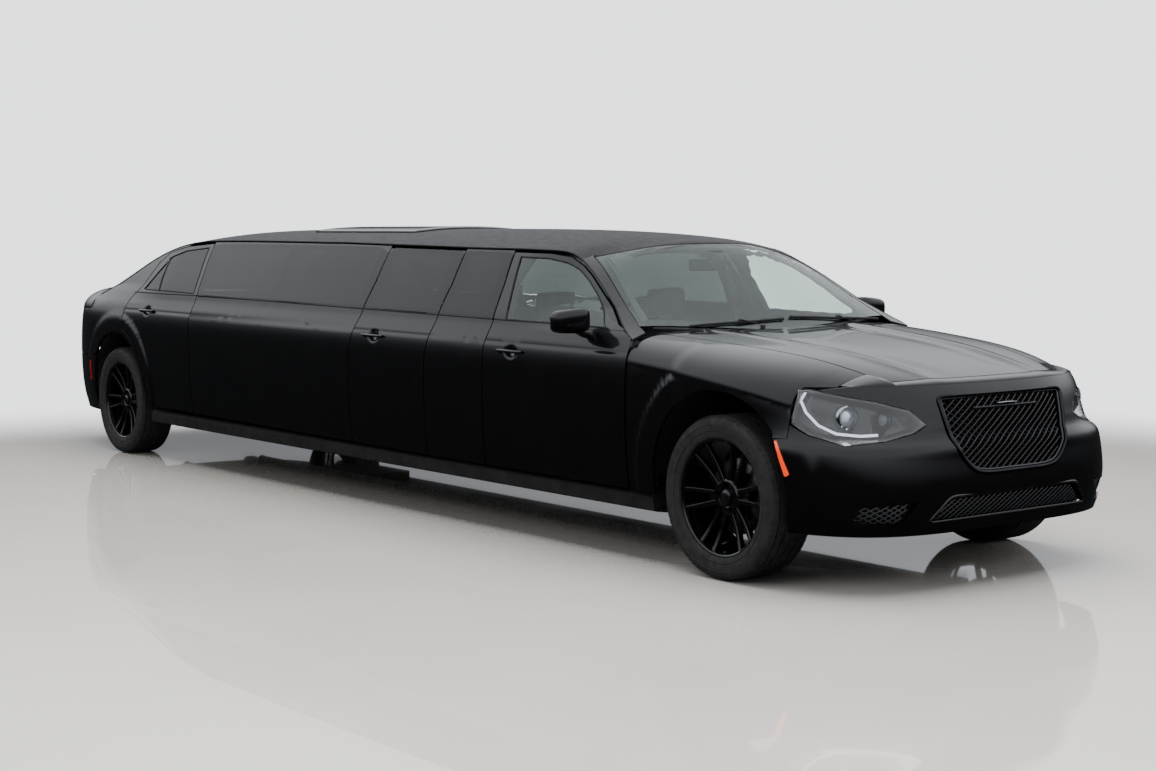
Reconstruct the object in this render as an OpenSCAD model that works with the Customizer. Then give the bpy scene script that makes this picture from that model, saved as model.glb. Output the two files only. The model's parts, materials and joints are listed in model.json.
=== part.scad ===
/* [Overall size] */
// Distance between the axles
wheelbase = 6100; // [5500:50:7400]
// Front bumper to front axle
front_overhang = 855; // [820:5:930]
// Rear axle to rear bumper
rear_overhang = 1115; // [1050:5:1250]
// Width of the body without mirrors
body_width = 1896; // [1580:4:2280]
// Height of the roof above the ground
roof_height = 1508; // [1460:4:1700]

/* [Wheels] */
// Distance between the wheel centres of one axle
track = 1630; // [1560:5:1640]
// Outer radius of the tyre
tyre_radius = 357; // [330:1:368]
// Width of the tyre
tyre_width = 245; // [205:5:255]
// Radius of the rim's outer edge
rim_radius = 256; // [215:1:280]
// Radius of the wheel arch opening
arch_radius = 414; // [402:1:430]
// Number of spoke pairs
spoke_pairs = 6; // [5:1:8]
// Radius of the wheel spindle
spindle_radius = 27; // [20:1:32]

/* [Panels] */
// Gap between a door and its neighbours
shut_gap = 8; // [5:1:12]
// Thickness of a door below the windows
door_depth = 105; // [70:5:130]
// Thickness of the window frames
frame_depth = 38; // [25:1:55]
// Thickness of the outer flange of a door
flange_depth = 16; // [10:1:24]
// How far a door's inner box stays inside its outline
flange_inset = 26; // [18:1:36]
// Thickness of the roof and pillars
roof_depth = 34; // [20:1:50]
// Thickness of the hood and boot lid
lid_depth = 30; // [18:1:45]
// Thickness of the bumper covers
bumper_depth = 26; // [12:1:40]
// Thickness of window glass
glass_depth = 6; // [4:1:9]
// Gap round the glass
glass_gap = 3; // [2:1:6]

/* [Steering wheel] */
// Outer radius of the steering wheel
steering_radius = 190; // [165:1:205]
// Radius of its grip
grip_radius = 15; // [11:1:19]

/* [Plate bracket] */
// Horizontal distance between the plate screws
plate_screws_y = 177.8; // [150:0.1:200]
// Vertical distance between the plate screws
plate_screws_z = 120.65; // [80:0.05:140]
// Radius of a plate screw hole
plate_hole_r = 3; // [2:0.1:4]

/* [Hidden] */

$fn = 48;
body_length = front_overhang + wheelbase + rear_overhang;
front_axle_x = body_length / 2 - front_overhang;
rear_axle_x = front_axle_x - wheelbase;
cowl_z = 1020;
sill_bottom_z = 242;
sill_top_z = 322;
door_bottom_z = sill_top_z + shut_gap;
floor_z = 215;
arch_z = 410;
arch_drop = tyre_radius;
belt_rise = 30;
// Wheel hub's inner face, and places that the underbody's parts share
hub_y = track / 2 - 118;
sill_in = 760;
floor_depth = 36;
tunnel_half = 112;
tunnel_top = 400;
rail_in = 265;
rail_width = 70;
boot_floor_z = 470;
boot_half = 672;
apron_z = 780;
shelf_z = 800;
seat_gap = 0.3;
far = 4000;
half_gap = shut_gap / 2;
paint = "#141416";
satin_black = "#26262a";
trim_black = "#1b1b1d";
steel = "#8a8c90";
glass_tint = [0.08, 0.1, 0.1, 0.6];

// Half width of the straight middle of the body at each height
FLANK = [[230, 905], [330, 926], [430, 938], [560, 946], [700, 948], [820, 946], [900, 940], [945, 931],
    [985, 913], [1030, 893], [1065, 882], [1090, 872], [1180, 827], [1270, 779], [1350, 731], [1440, 672]];
// How far forward the nose reaches at each height, as a share of its length
NOSE_REACH = [[240, 0.955], [340, 0.987], [440, 1.0], [560, 0.988], [610, 0.982], [650, 0.966], [700, 0.957],
    [800, 0.93], [860, 0.893], [900, 0.85]];
// How square the nose is in plan at each height
NOSE_POWER = [[300, 3.9], [450, 3.75], [600, 3.5], [650, 2.95], [800, 2.7], [900, 2.6]];
// How far back the tail reaches at each height, as a share of its length
TAIL_REACH = [[240, 0.965], [400, 0.995], [560, 1.0], [800, 0.985], [950, 0.965], [1060, 0.93], [1100, 0.915]];
tail_power = 3.8;
// Centre line of windscreen and roof from the front axle, as a share of the cabin height
ROOF_FRONT = [[-2900, 1], [-2300, 0.992], [-1800, 0.969], [-1450, 0.93], [-1250, 0.885], [-1120, 0.84],
    [-840, 0.44], [-560, 0]];
// Centre line of roof and rear window from the rear axle, as a share of the cabin height
ROOF_REAR = [[-600, 0.05], [-440, 0.17], [-100, 0.43], [160, 0.65], [330, 0.785], [600, 0.915], [900, 0.974],
    [1500, 1]];
// Edge between the side and the roof, in the same two ways
RAIL_FRONT = [[-3500, 0.85], [-2200, 0.807], [-1500, 0.787], [-1328, 0.75], [-1122, 0.568], [-937, 0.348],
    [-723, 0.09], [-560, -0.07]];
RAIL_REAR = [[-600, -0.03], [-440, 0.09], [-70, 0.37], [330, 0.665], [640, 0.805], [1000, 0.855],
    [2600, 0.85]];
// Height of the hood's centre and of the fender's shoulder from the front axle
HOOD_CENTRE = [[-640, 1040], [-200, 1008], [200, 968], [500, 918], [720, 868], [800, 840]];
SHOULDER_FRONT = [[-640, 905], [-200, 868], [200, 815], [500, 742], [720, 690], [800, 670]];
// Height of the boot's centre and of the rear shoulder from the rear axle
BOOT_CENTRE = [[-1080, 1030], [-1000, 1082], [-860, 1110], [-480, 1112], [-300, 1105]];
SHOULDER_REAR = [[-1080, 905], [-860, 945], [-480, 968], [-300, 975]];

// Returns t kept between 0 and 1
function unit(t) = min(max(t, 0), 1);
function mix(a, b, t) = a + (b - a) * t;
function join(lists) = [for (a = lists) for (b = a) b];
// Span of the table that holds x
function span(tab, x, i = 0) = i >= len(tab) - 2 || x < tab[i + 1][0] ? i : span(tab, x, i + 1);
function lean(tab, k) = let (a = max(k - 1, 0), b = min(k + 1, len(tab) - 1))
    (tab[b][1] - tab[a][1]) / (tab[b][0] - tab[a][0]);
// Smooth curve through the table's points
function curve(tab, x) = let (i = span(tab, x), h = tab[i + 1][0] - tab[i][0], s = unit((x - tab[i][0]) / h))
    (1 + 2 * s) * (1 - s) * (1 - s) * tab[i][1] + s * s * (3 - 2 * s) * tab[i + 1][1]
    + h * s * (1 - s) * (1 - s) * lean(tab, i) - h * s * s * (1 - s) * lean(tab, i + 1);
function steps(a, b, n) = [for (i = [0:n]) mix(a, b, i / n)];

// Plan shape of nose and tail, as a share of the full width
function nose_share(x, z) = let (p = curve(NOSE_POWER, z), r = (front_overhang + 150) * curve(NOSE_REACH, z),
    u = min(max((x - front_axle_x + 150) / r, 0), 0.99999)) pow(1 - pow(u, p), 1 / p);
function tail_share(x, z) = let (r = (rear_overhang + 100) * curve(TAIL_REACH, z),
    u = min(max((rear_axle_x + 100 - x) / r, 0), 0.99999)) pow(1 - pow(u, tail_power), 1 / tail_power);
// Height on the reference section: the waist rises to the rear and the cabin stretches with the roof
function section_z(x, z) = let (d = z - belt_rise * unit((front_axle_x - 600 - x) / (wheelbase - 800)),
    k = (1508 - cowl_z) / (roof_height - cowl_z)) d > cowl_z ? cowl_z + (d - cowl_z) * k : d;
function ease(t) = unit(t) * unit(t) * (3 - 2 * unit(t));
// The cabin narrows towards the windscreen and the rear window
function cabin_share(x, z) = 1 - unit((z - cowl_z) / 120) * (0.06 * ease((x - front_axle_x + 1650) / 500)
    + 0.07 * ease((rear_axle_x + 650 - x) / 1100));
// Half width of the body side at a place
function side_y(x, z) = body_width / 1896 * curve(FLANK, section_z(x, z)) * nose_share(x, z) * tail_share(x, z)
    * cabin_share(x, z);
mid_x = (front_axle_x - 2900 + rear_axle_x + 1500) / 2;
cabin_h = roof_height - cowl_z;
function roof_c(x) = cowl_z + cabin_h * (x > mid_x ? curve(ROOF_FRONT, x - front_axle_x)
    : curve(ROOF_REAR, x - rear_axle_x));
function rail_z(x) = cowl_z + cabin_h * (x > mid_x ? curve(RAIL_FRONT, x - front_axle_x)
    : curve(RAIL_REAR, x - rear_axle_x));
function rail_y(x) = side_y(x, rail_z(x));
// Height of windscreen, roof and rear window over a place in plan
function cab_z(x, y) = rail_z(x) + (roof_c(x) - rail_z(x)) * (1 - pow(min(abs(y) / rail_y(x), 1), 2.2));
// Power of the shoulder's rounding: square at the cowl, round at the nose
function shoulder_power(x) = mix(4, 8, unit((front_axle_x + 500 - x) / 1100));
function over(c, s, w, q, y) = s + (c - s) * sqrt(max(1 - pow(min(abs(y) / w, 1), q), 0));
function hood_s(x) = curve(SHOULDER_FRONT, x - front_axle_x);
function hood_z(x, y) = over(curve(HOOD_CENTRE, x - front_axle_x), hood_s(x), side_y(x, hood_s(x)),
    shoulder_power(x), y);
function boot_s(x) = curve(SHOULDER_REAR, x - rear_axle_x);
function boot_z(x, y) = over(curve(BOOT_CENTRE, x - rear_axle_x), boot_s(x), side_y(x, boot_s(x)), 6, y);
// Foremost and rearmost surface at a height and distance from the centre
function nose_x(y, z) = let (p = curve(NOSE_POWER, z), b = body_width / 1896 * curve(FLANK, z))
    front_axle_x - 150 + (front_overhang + 150) * curve(NOSE_REACH, z)
    * pow(max(1 - pow(min(abs(y) / b, 1), p), 0), 1 / p);
function tail_x(y, z) = let (b = body_width / 1896 * curve(FLANK, section_z(rear_axle_x, z)))
    rear_axle_x + 100 - (rear_overhang + 100) * curve(TAIL_REACH, z)
    * pow(max(1 - pow(min(abs(y) / b, 1), tail_power), 0), 1 / tail_power);

// Closed wall between two grids of points
module wall(outer, inner) {
    n = len(outer);
    m = len(outer[0]);
    k = n * m;
    outer_faces = [for (i = [0:n - 2]) for (j = [0:m - 2]) each [[i * m + j, (i + 1) * m + j, (i + 1) * m + j + 1],
        [i * m + j, (i + 1) * m + j + 1, i * m + j + 1]]];
    inner_faces = [for (f = outer_faces) [f[2] + k, f[1] + k, f[0] + k]];
    rim = concat([for (i = [0:n - 2]) i * m], [for (j = [0:m - 2]) (n - 1) * m + j],
        [for (i = [n - 1:-1:1]) i * m + m - 1], [for (j = [m - 1:-1:1]) j]);
    rim_faces = [for (i = [0:len(rim) - 1]) let (a = rim[i], b = rim[(i + 1) % len(rim)])
        each [[b, a, a + k], [b, a + k, b + k]]];
    polyhedron(points = concat(join(outer), join(inner)), faces = concat(outer_faces, inner_faces, rim_faces));
}
// One shell mesh from cut and joined walls
module shell() {
    resize([0, 0, 0])
        children();
}
// Wall along the left side of the body, from depth a to depth b below the surface
module side_wall(xs, z0, z1, a_low, b_low, a_high, b_high) {
    zs = concat([z0], [for (p = FLANK) if (p[0] > z0 + 20 && p[0] < z1 - 20) p[0]], [z1]);
    wall([for (x = xs) [for (z = zs) [x, side_y(x, z) - mix(a_low, a_high, unit((z - 960) / 90)), z]]],
        [for (x = xs) [for (z = zs) [x, side_y(x, z) - mix(b_low, b_high, unit((z - 960) / 90)), z]]]);
}
// Space above the edge of the roof, and down to a distance below it
module above_rail(x0, x1, drop) {
    across(concat([for (x = steps(x0, x1, 24)) [x, rail_z(x) - drop]], [[x1, 2000], [x0, 2000]]));
}
// Prism across the car from an outline of lengths and heights
module across(points) {
    rotate([90, 0, 0])
        linear_extrude(height = far, center = true)
            polygon(points);
}
// Prism across the car from the same outline, kept inside by a distance
module across_inset(points, inset) {
    rotate([90, 0, 0])
        linear_extrude(height = far, center = true)
            offset(delta = -inset)
                polygon(points);
}
module upright(points) {
    linear_extrude(height = far)
        polygon(points);
}
module arch_cut(x, r) {
    translate([x, 0, arch_z])
        rotate([90, 0, 0])
            cylinder(r = r, h = far, center = true);
    translate([x - r, -far / 2, 0])
        cube([2 * r, far, arch_z]);
}
module on_side(side) {
    if (side == "right") mirror([0, 1, 0]) children();
    if (side == "left") children();
}
module both_sides() {
    children();
    mirror([0, 1, 0])
        children();
}

// Outlines on the side, as [length, height], front edges first
fx = front_axle_x;
rx = rear_axle_x;
FRONT_DOOR = [[fx - 610, door_bottom_z], [fx - 610, 985], [fx - 624, cowl_z + 2], [fx - 735, cowl_z + 36],
    [fx - 940, cowl_z + cabin_h * 0.32], [fx - 1125, cowl_z + cabin_h * 0.54], [fx - 1225, cowl_z + cabin_h * 0.64],
    [fx - 1332, cowl_z + cabin_h * 0.72], [fx - 1480, cowl_z + cabin_h * 0.755], [fx - 1784, cowl_z + cabin_h * 0.765],
    [fx - 1744, cowl_z + cabin_h * 0.43], [fx - 1728, cowl_z + 30], [fx - 1745, 940], [fx - 1745, door_bottom_z]];
FRONT_WINDOW = [[fx - 840, cowl_z + 30], [fx - 925, cowl_z + cabin_h * 0.205],
    [fx - 1035, cowl_z + cabin_h * 0.37], [fx - 1140, cowl_z + cabin_h * 0.50], [fx - 1240, cowl_z + cabin_h * 0.60],
    [fx - 1345, cowl_z + cabin_h * 0.665], [fx - 1490, cowl_z + cabin_h * 0.705], [fx - 1715, cowl_z + cabin_h * 0.717],
    [fx - 1665, cowl_z + cabin_h * 0.40], [fx - 1622, cowl_z + 42]];
MID_DOOR = [[fx - 2277, door_bottom_z], [fx - 2277, 850], [fx - 2258, 936], [fx - 2228, cowl_z + 40],
    [fx - 2206, cowl_z + cabin_h * 0.43], [fx - 2223, cowl_z + cabin_h * 0.775], [fx - 2966, cowl_z + cabin_h * 0.79],
    [fx - 2953, cowl_z + cabin_h * 0.43], [fx - 2979, cowl_z + 40], [fx - 3016, 946], [fx - 3041, 854],
    [fx - 3041, door_bottom_z + 4]];
MID_WINDOW = [[fx - 2330, cowl_z + 50], [fx - 2300, cowl_z + cabin_h * 0.43], [fx - 2310, cowl_z + cabin_h * 0.725],
    [fx - 2880, cowl_z + cabin_h * 0.735], [fx - 2870, cowl_z + cabin_h * 0.43], [fx - 2892, cowl_z + 58]];
rear_lip = arch_radius + 40;
REAR_DOOR = concat([[rx + 1098, door_bottom_z + 18], [rx + 1094, 752], [rx + 1080, 940], [rx + 1092, cowl_z + 70],
    [rx + 1055, cowl_z + cabin_h * 0.48], [rx + 1006, cowl_z + cabin_h * 0.822],
    [rx + 664, cowl_z + cabin_h * 0.78], [rx + 446, cowl_z + cabin_h * 0.70], [rx + 345, cowl_z + cabin_h * 0.56],
    [rx + 218, cowl_z + cabin_h * 0.22], [rx + 140, cowl_z + 50], [rx + 108, 985], [rx + 112, 880]],
    [for (a = [75:-15:15]) [rx + rear_lip * cos(a), arch_z + rear_lip * sin(a)]],
    [[rx + rear_lip, arch_z], [rx + rear_lip + 26, door_bottom_z + 18]]);
REAR_WINDOW = [[rx + 1040, cowl_z + 84], [rx + 1010, cowl_z + cabin_h * 0.43], [rx + 960, cowl_z + cabin_h * 0.765],
    [rx + 670, cowl_z + cabin_h * 0.72], [rx + 500, cowl_z + cabin_h * 0.64], [rx + 385, cowl_z + cabin_h * 0.42],
    [rx + 272, cowl_z + 95]];
quarter_start = [[rx + 1006, cowl_z + cabin_h * 0.822], [rx + 664, cowl_z + cabin_h * 0.78],
    [rx + 446, cowl_z + cabin_h * 0.70], [rx + 345, cowl_z + cabin_h * 0.56], [rx + 218, cowl_z + cabin_h * 0.22],
    [rx + 140, cowl_z + 50], [rx + 108, 985], [rx + 112, 880]];

// Door from an outline, with its inner box kept inside the flange and its window cut
module door(outline, window, nx, x0, x1) {
    shell()
        difference() {
            union() {
                intersection() {
                    side_wall(steps(x0, x1, nx), door_bottom_z - 20, roof_height - 40, 0, flange_depth, 0,
                        flange_depth);
                    across_inset(outline, half_gap);
                }
                intersection() {
                    side_wall(steps(x0, x1, nx), door_bottom_z - 20, roof_height - 40, flange_depth - 2, door_depth,
                        flange_depth - 2, frame_depth);
                    across_inset(outline, half_gap + flange_inset);
                }
            }
            across(window);
        }
}
module pane(window, nx, x0, x1) {
    shell()
        intersection() {
            side_wall(steps(x0, x1, nx), cowl_z - 10, roof_height - 40, 2, 2 + glass_depth, 2, 2 + glass_depth);
            across_inset(window, glass_gap);
        }
}
module mirror_housing() {
    color(paint)
        translate([fx - 965, side_y(fx - 965, 1060) + 118, 1083])
            scale([0.62, 1, 0.62])
                sphere(r = 96, $fn = 28);
    color(paint)
        translate([fx - 985, side_y(fx - 900, 1010) - 20, 1006])
            cube([110, 125, 34]);
}

// ---------- Underbody ----------
module floor_pan() {
    color("#3a3b3e")
        difference() {
            union() {
                // Floor between the axles
                translate([rx + 430, -sill_in, floor_z])
                    cube([wheelbase - 1050, 2 * sill_in, floor_depth]);
                // Tunnel over the propeller shaft
                translate([rx + 430, -tunnel_half - 12, floor_z])
                    cube([wheelbase - 1050, 2 * tunnel_half + 24, tunnel_top + 12 - floor_z]);
                // Kick-up to the floor over the rear axle
                translate([rx + 410, -sill_in, floor_z])
                    cube([30, 2 * sill_in, boot_floor_z + 30 - floor_z]);
                translate([rx - 900, -boot_half, boot_floor_z])
                    cube([1340, 2 * boot_half, 30]);
                // Crossbeam behind the front bumper
                translate([fx + 700, -620, 420])
                    cube([nose_x(620, 450) - bumper_depth - 12 - fx - 700, 1240, 60]);
                both_sides() {
                    floor_side();
                    across_sill();
                }
            }
            translate([rx + 400, -tunnel_half, floor_z - 1])
                cube([wheelbase, 2 * tunnel_half, tunnel_top - floor_z + 1]);
        }
}
// Rail, spring tower and boot wall of one side
module floor_side() {
    // Front rail, stepped up from the floor
    translate([fx - 700, rail_in, 300])
        cube([1460, rail_width, 110]);
    translate([fx - 700, rail_in, floor_z])
        cube([80, rail_width, 195]);
    translate([fx + 700, rail_in, 400])
        cube([60, rail_width, 80]);
    // Spring tower
    translate([fx - 60, rail_in, 400])
        cube([80, rail_width, apron_z - 400 - seat_gap]);
    translate([fx - 60, rail_in, 620 + seat_gap])
        cube([80, 190, 20]);
    // Wall between boot and wheel
    translate([rx - 900, boot_half - 12, boot_floor_z])
        cube([1300, 12, shelf_z - boot_floor_z - seat_gap]);
    // Strut to the rear bumper
    translate([rx - 1074, 300, boot_floor_z])
        cube([200, 80, 70]);
}
module across_sill() {
    translate([rx + 455, 0, 0])
        rotate([90, 0, 90])
            linear_extrude(height = wheelbase - 455 - 450)
                polygon([[750, sill_bottom_z - 20], [890, sill_bottom_z], [908, sill_bottom_z + 8],
                    [916, sill_top_z - 14], [890, sill_top_z], [750, sill_top_z]]);
}
module front_suspension() {
    color("#2c2d30") {
        // Subframe, and its posts to the rails
        translate([fx - 190, -370, 165])
            cube([380, 740, 70]);
        both_sides()
            for (x = [-170, 120])
                translate([fx + x, rail_in + 10, 230])
                    cube([50, 50, 70 - seat_gap]);
        both_sides() {
            // Two lower arms
            translate([fx - 40, 365, 166])
                cube([80, hub_y - 365 - 62, 34]);
            translate([fx + 70, 300, 190])
                cube([42, hub_y - 300 - 66, 28]);
            // Spring strut
            translate([fx - 20, 400, 200])
                cylinder(r = 26, h = 420);
            translate([fx - 20, 400, 330])
                cylinder(r = 45, h = 290);
        }
    }
}
module rear_suspension() {
    color("#2c2d30") {
        for (x = [-250, 190])
            translate([rx + x, -400, 205])
                cube([60, 800, 40]);
        both_sides() {
            translate([rx - 250, 330, 205])
                cube([500, 70, 60]);
            for (x = [-220, 215])
                translate([rx + x, 365, 240])
                    cylinder(r = 22, h = boot_floor_z - 240 - seat_gap);
            translate([rx - 60, 395, 235])
                cube([120, hub_y - 395 - 20, 30]);
            translate([rx - 90, 415, 245])
                cylinder(r = 52, h = boot_floor_z - 245 - seat_gap);
            translate([rx - 60, hub_y - 40, 235])
                cube([120, 40, 180]);
            hub_spindle(rx);
        }
    }
}
// Spindle with a flange, which the wheel turns on
module hub_spindle(x) {
    translate([x, hub_y - 5, arch_drop])
        rotate([-90, 0, 0])
            cylinder(r = 62, h = 40);
    translate([x, hub_y, arch_drop])
        rotate([-90, 0, 0])
            cylinder(r = spindle_radius, h = 130);
}
module engine_block() {
    color("#55575b") {
        translate([fx - 480, -215, 330])
            cube([700, 430, 250]);
        // Cylinder heads and cover
        both_sides()
            translate([fx - 440, 70, 560])
                rotate([-18, 0, 0])
                    cube([600, 125, 180]);
        translate([fx - 420, -110, 560])
            cube([560, 220, 240]);
        // Mounts on the rails
        both_sides()
            translate([fx - 300, 200, 410 + seat_gap])
                cube([100, 125, 30]);
    }
}
module driveline() {
    color("#4a4c50") {
        // Gearbox and its bell housing
        translate([fx - 1180, 0, shaft_z])
            rotate([0, 90, 0])
                cylinder(r1 = 60, r2 = 95, h = 570);
        translate([fx - 610, 0, shaft_z])
            rotate([0, 90, 0])
                cylinder(r1 = 95, r2 = 150, h = 130 - seat_gap);
        // Propeller shaft
        translate([rx + 150, 0, shaft_z])
            rotate([0, 90, 0])
                cylinder(r = 32, h = wheelbase - 1310);
        // Differential, its carrier and half shafts
        translate([rx - 60, 0, arch_drop - 30])
            rotate([0, 90, 0])
                cylinder(r = 88, h = 245);
        translate([rx - 240, -60, 245 + seat_gap])
            cube([480, 120, 22]);
        both_sides()
            translate([rx, 60, arch_drop])
                rotate([-90, 0, 0])
                    cylinder(r = 15, h = hub_y - 40 - 60 - seat_gap);
    }
}
shaft_z = 300;
// Round bar between two points
module bar(a, b, r) {
    d = b - a;
    l = norm(d);
    translate(a)
        rotate([0, acos(d[2] / l), atan2(d[1], d[0])])
            cylinder(r = r, h = l);
}
module exhaust_system() {
    pipe_z = 170;
    color(steel)
        both_sides() {
            bar([rx - 300, 300, pipe_z], [fx - 860, 300, pipe_z], 27);
            bar([rx - 300, 300, pipe_z], [rx - 420, 600, 290], 27);
            translate([rx - 300, 300, pipe_z])
                sphere(r = 31);
            // Silencer and tail pipe
            translate([rx - 780, 535, 240])
                cube([380, 125, 110]);
            bar([rx - 1060, 615, 275], [rx - 760, 615, 275], 36);
        }
}
module fuel_tank() {
    color("#2a2a2c")
        translate([rx + 470, 360, 150])
            cube([620, 330, floor_z - 150 - seat_gap]);
}

// ---------- Body panels ----------
// Points round nose and tail at a height: angle 0 is the centre line
function nose_ring(z, a) = let (p = curve(NOSE_POWER, z), b = body_width / 1896 * curve(FLANK, z),
    r = (front_overhang + 150) * curve(NOSE_REACH, z))
    [front_axle_x - 150 + r * pow(abs(cos(a)), 2 / p), b * pow(abs(sin(a)), 2 / p) * sign(a), z];
function tail_ring(z, a) = let (b = body_width / 1896 * curve(FLANK, section_z(rear_axle_x, z)),
    r = (rear_overhang + 100) * curve(TAIL_REACH, z))
    [rear_axle_x + 100 - r * pow(abs(cos(a)), 2 / tail_power), b * pow(abs(sin(a)), 2 / tail_power) * sign(a), z];
NOSE_ANGLES = [-72, -58, -46, -36, -28, -20, -12, -5, 0, 5, 12, 20, 28, 36, 46, 58, 72];
module nose_cover(z0, z1, nz, d) {
    zs = steps(z0, z1, nz);
    wall([for (z = zs) [for (a = NOSE_ANGLES) nose_ring(z, a)]],
        [for (z = zs) [for (a = NOSE_ANGLES) let (p = nose_ring(z, a))
            [p[0] - d * abs(cos(a)) - 2, p[1] - d * sin(a), p[2]]]]);
}
module tail_cover(z0, z1, nz, d) {
    zs = steps(z0, z1, nz);
    wall([for (z = zs) [for (a = [for (i = [len(NOSE_ANGLES) - 1:-1:0]) NOSE_ANGLES[i]]) tail_ring(z, a)]],
        [for (z = zs) [for (a = [for (i = [len(NOSE_ANGLES) - 1:-1:0]) NOSE_ANGLES[i]]) let (p = tail_ring(z, a))
            [p[0] + d * abs(cos(a)) + 2, p[1] - d * sin(a), p[2]]]]);
}
// Openings in the nose as seen from the front, as [y, z]
GRILLE = [[-395, 815], [-372, 660], [-330, 560], [-262, 500], [-180, 488], [180, 488], [262, 500], [330, 560],
    [372, 660], [395, 815]];
LOWER_GRILLE = [[-400, 408], [-500, 305], [500, 305], [400, 408]];
SIDE_INLET = [[560, 400], [620, 300], [790, 310], [770, 380]];
module along(points) {
    translate([fx, 0, 0])
        rotate([90, 0, 90])
            linear_extrude(height = 1200)
                polygon(points);
}
module along_inset(points, inset) {
    translate([fx, 0, 0])
        rotate([90, 0, 90])
            linear_extrude(height = 1200)
                offset(delta = -inset)
                    polygon(points);
}
// Lamp outline in the nose as seen from the front, as [y, z]
LAMP = [[462, 700], [520, 668], [640, 640], [790, 622], [850, 660], [880, 760], [905, 848], [820, 846], [640, 800],
    [520, 762]];
module lamp_shape(inset) {
    intersection() {
        along_inset(LAMP, inset);
        translate([fx + lamp_rear - inset, 0, 580])
            cube([700, far, 320]);
    }
}
lamp_rear = 395;
module front_bumper() {
    color(paint)
        shell()
            difference() {
                intersection() {
                    nose_cover(250, 862, 8, bumper_depth);
                    translate([fx + 330, -far / 2, 0])
                        cube([1200, far, far]);
                }
                along(GRILLE);
                along(LOWER_GRILLE);
                both_sides()
                    along(SIDE_INLET);
                both_sides()
                    lamp_shape(-2);
                arch_cut(fx, arch_radius);
                // Meets the fender behind the lamp
                both_sides()
                    translate([fx - 100, 0, 640])
                        cube([495 + 100, far, 400]);
            }
}
module rear_bumper() {
    color(paint)
        shell()
            difference() {
                intersection() {
                    tail_cover(262, 640, 6, bumper_depth);
                    translate([rx - 2000, -far / 2, 0])
                        cube([1560, far, far]);
                }
                arch_cut(rx, arch_radius);
                both_sides()
                    translate([rx - 1250, 560, 262])
                        cube([350, 110, 60]);
            }
}
// Points of the fender's section: up the flank, then over the shoulder to the hood's edge
function hood_edge(x) = mix(540, 735, unit((fx + 590 - x) / 1190));
function fender_row(x, d) = let (s = hood_s(x), w = side_y(x, s), c = curve(HOOD_CENTRE, x - fx),
    q = shoulder_power(x), e = acos(pow((hood_edge(x) + half_gap) / w, q / 2)))
    concat([for (z = steps(door_bottom_z, s, 6)) [x, side_y(x, z) - d, z]],
    [for (k = [1:6]) let (a = e * k / 6, f = k / 6) [x, w * pow(cos(a), 2 / q) - d * (1 - f),
        s + (c - s) * sin(a) - d * f]]);
module front_fenders() {
    xs = [fx - 605 + half_gap, fx - 430, fx - 250, fx - 100, fx + 60, fx + 200, fx + 320, fx + 420, fx + 500];
    color(paint)
        both_sides()
            shell()
                difference() {
                    union() {
                        wall([for (x = xs) fender_row(x, 0)], [for (x = xs) fender_row(x, 18)]);
                        // Inner wing over the wheel
                        translate([fx - 500, rail_in, apron_z])
                            cube([600, side_y(fx, apron_z) - 12 - rail_in, 16]);
                    }
                    arch_cut(fx, arch_radius);
                    // Nose cover and lamp
                    translate([fx + 326, 0, 0])
                        cube([900, far, 640]);
                    translate([fx + 391, 0, 640])
                        cube([900, far, 210]);
                }
}
module rear_quarters() {
    xs = concat([for (d = [1118, 1110, 1095, 1070, 1035, 985, 910, 810, 690, 560, 440, 330]) rx - d],
        steps(rx - 220, rx + 700, 7));
    color(paint)
        both_sides()
            shell() {
                difference() {
                    side_wall(xs, door_bottom_z, roof_height - 60, 0, 22, 0, frame_depth);
                    arch_cut(rx, arch_radius);
                    // In front of the door's rear edge, down to the lip round the arch
                    across(concat([[rx + 900, 0], [rx + 900, cowl_z + cabin_h * 0.9]],
                        [for (p = quarter_start) [p[0] - half_gap, p[1]]],
                        [for (a = [75:-15:0]) [rx + (rear_lip - half_gap) * cos(a),
                            arch_z + (rear_lip - half_gap) * sin(a)]],
                        [[rx + rear_lip - half_gap, 0]]));
                    // Above the edge of the roof and the boot's shoulder
                    above_rail(rx + 700, boot_start, rail_seat);
                    across(concat([for (x = steps(boot_start, rx - 1130, 6)) [x, boot_s(x) + 1]],
                        [[rx - 1300, 2000], [boot_start, 2000]]));
                    // Bumper below, lamp and boot lid behind
                    translate([rx - 1400, 0, 0])
                        cube([960 + half_gap, far, 640 + half_gap]);
                    translate([rx - 1400, 0, 600])
                        cube([440, tail_half + shut_gap, 900]);
                    tail_lamp_shape(-3);
                }
                // Shoulder beside the boot lid
                wall([for (x = steps(rx - 930, boot_start, 6)) quarter_row(x, 0)],
                    [for (x = steps(rx - 930, boot_start, 6)) quarter_row(x, 20)]);
                // Shelf on the boot's wall
                translate([rx - 300, boot_half - 17, shelf_z])
                    cube([390, side_y(rx, shelf_z) - 12 - boot_half + 17, 12]);
            }
}
// Distance from the roof's edge to the panels under it, and half the boot lid's width across the tail
rail_seat = 8;
tail_half = 625;
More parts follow.
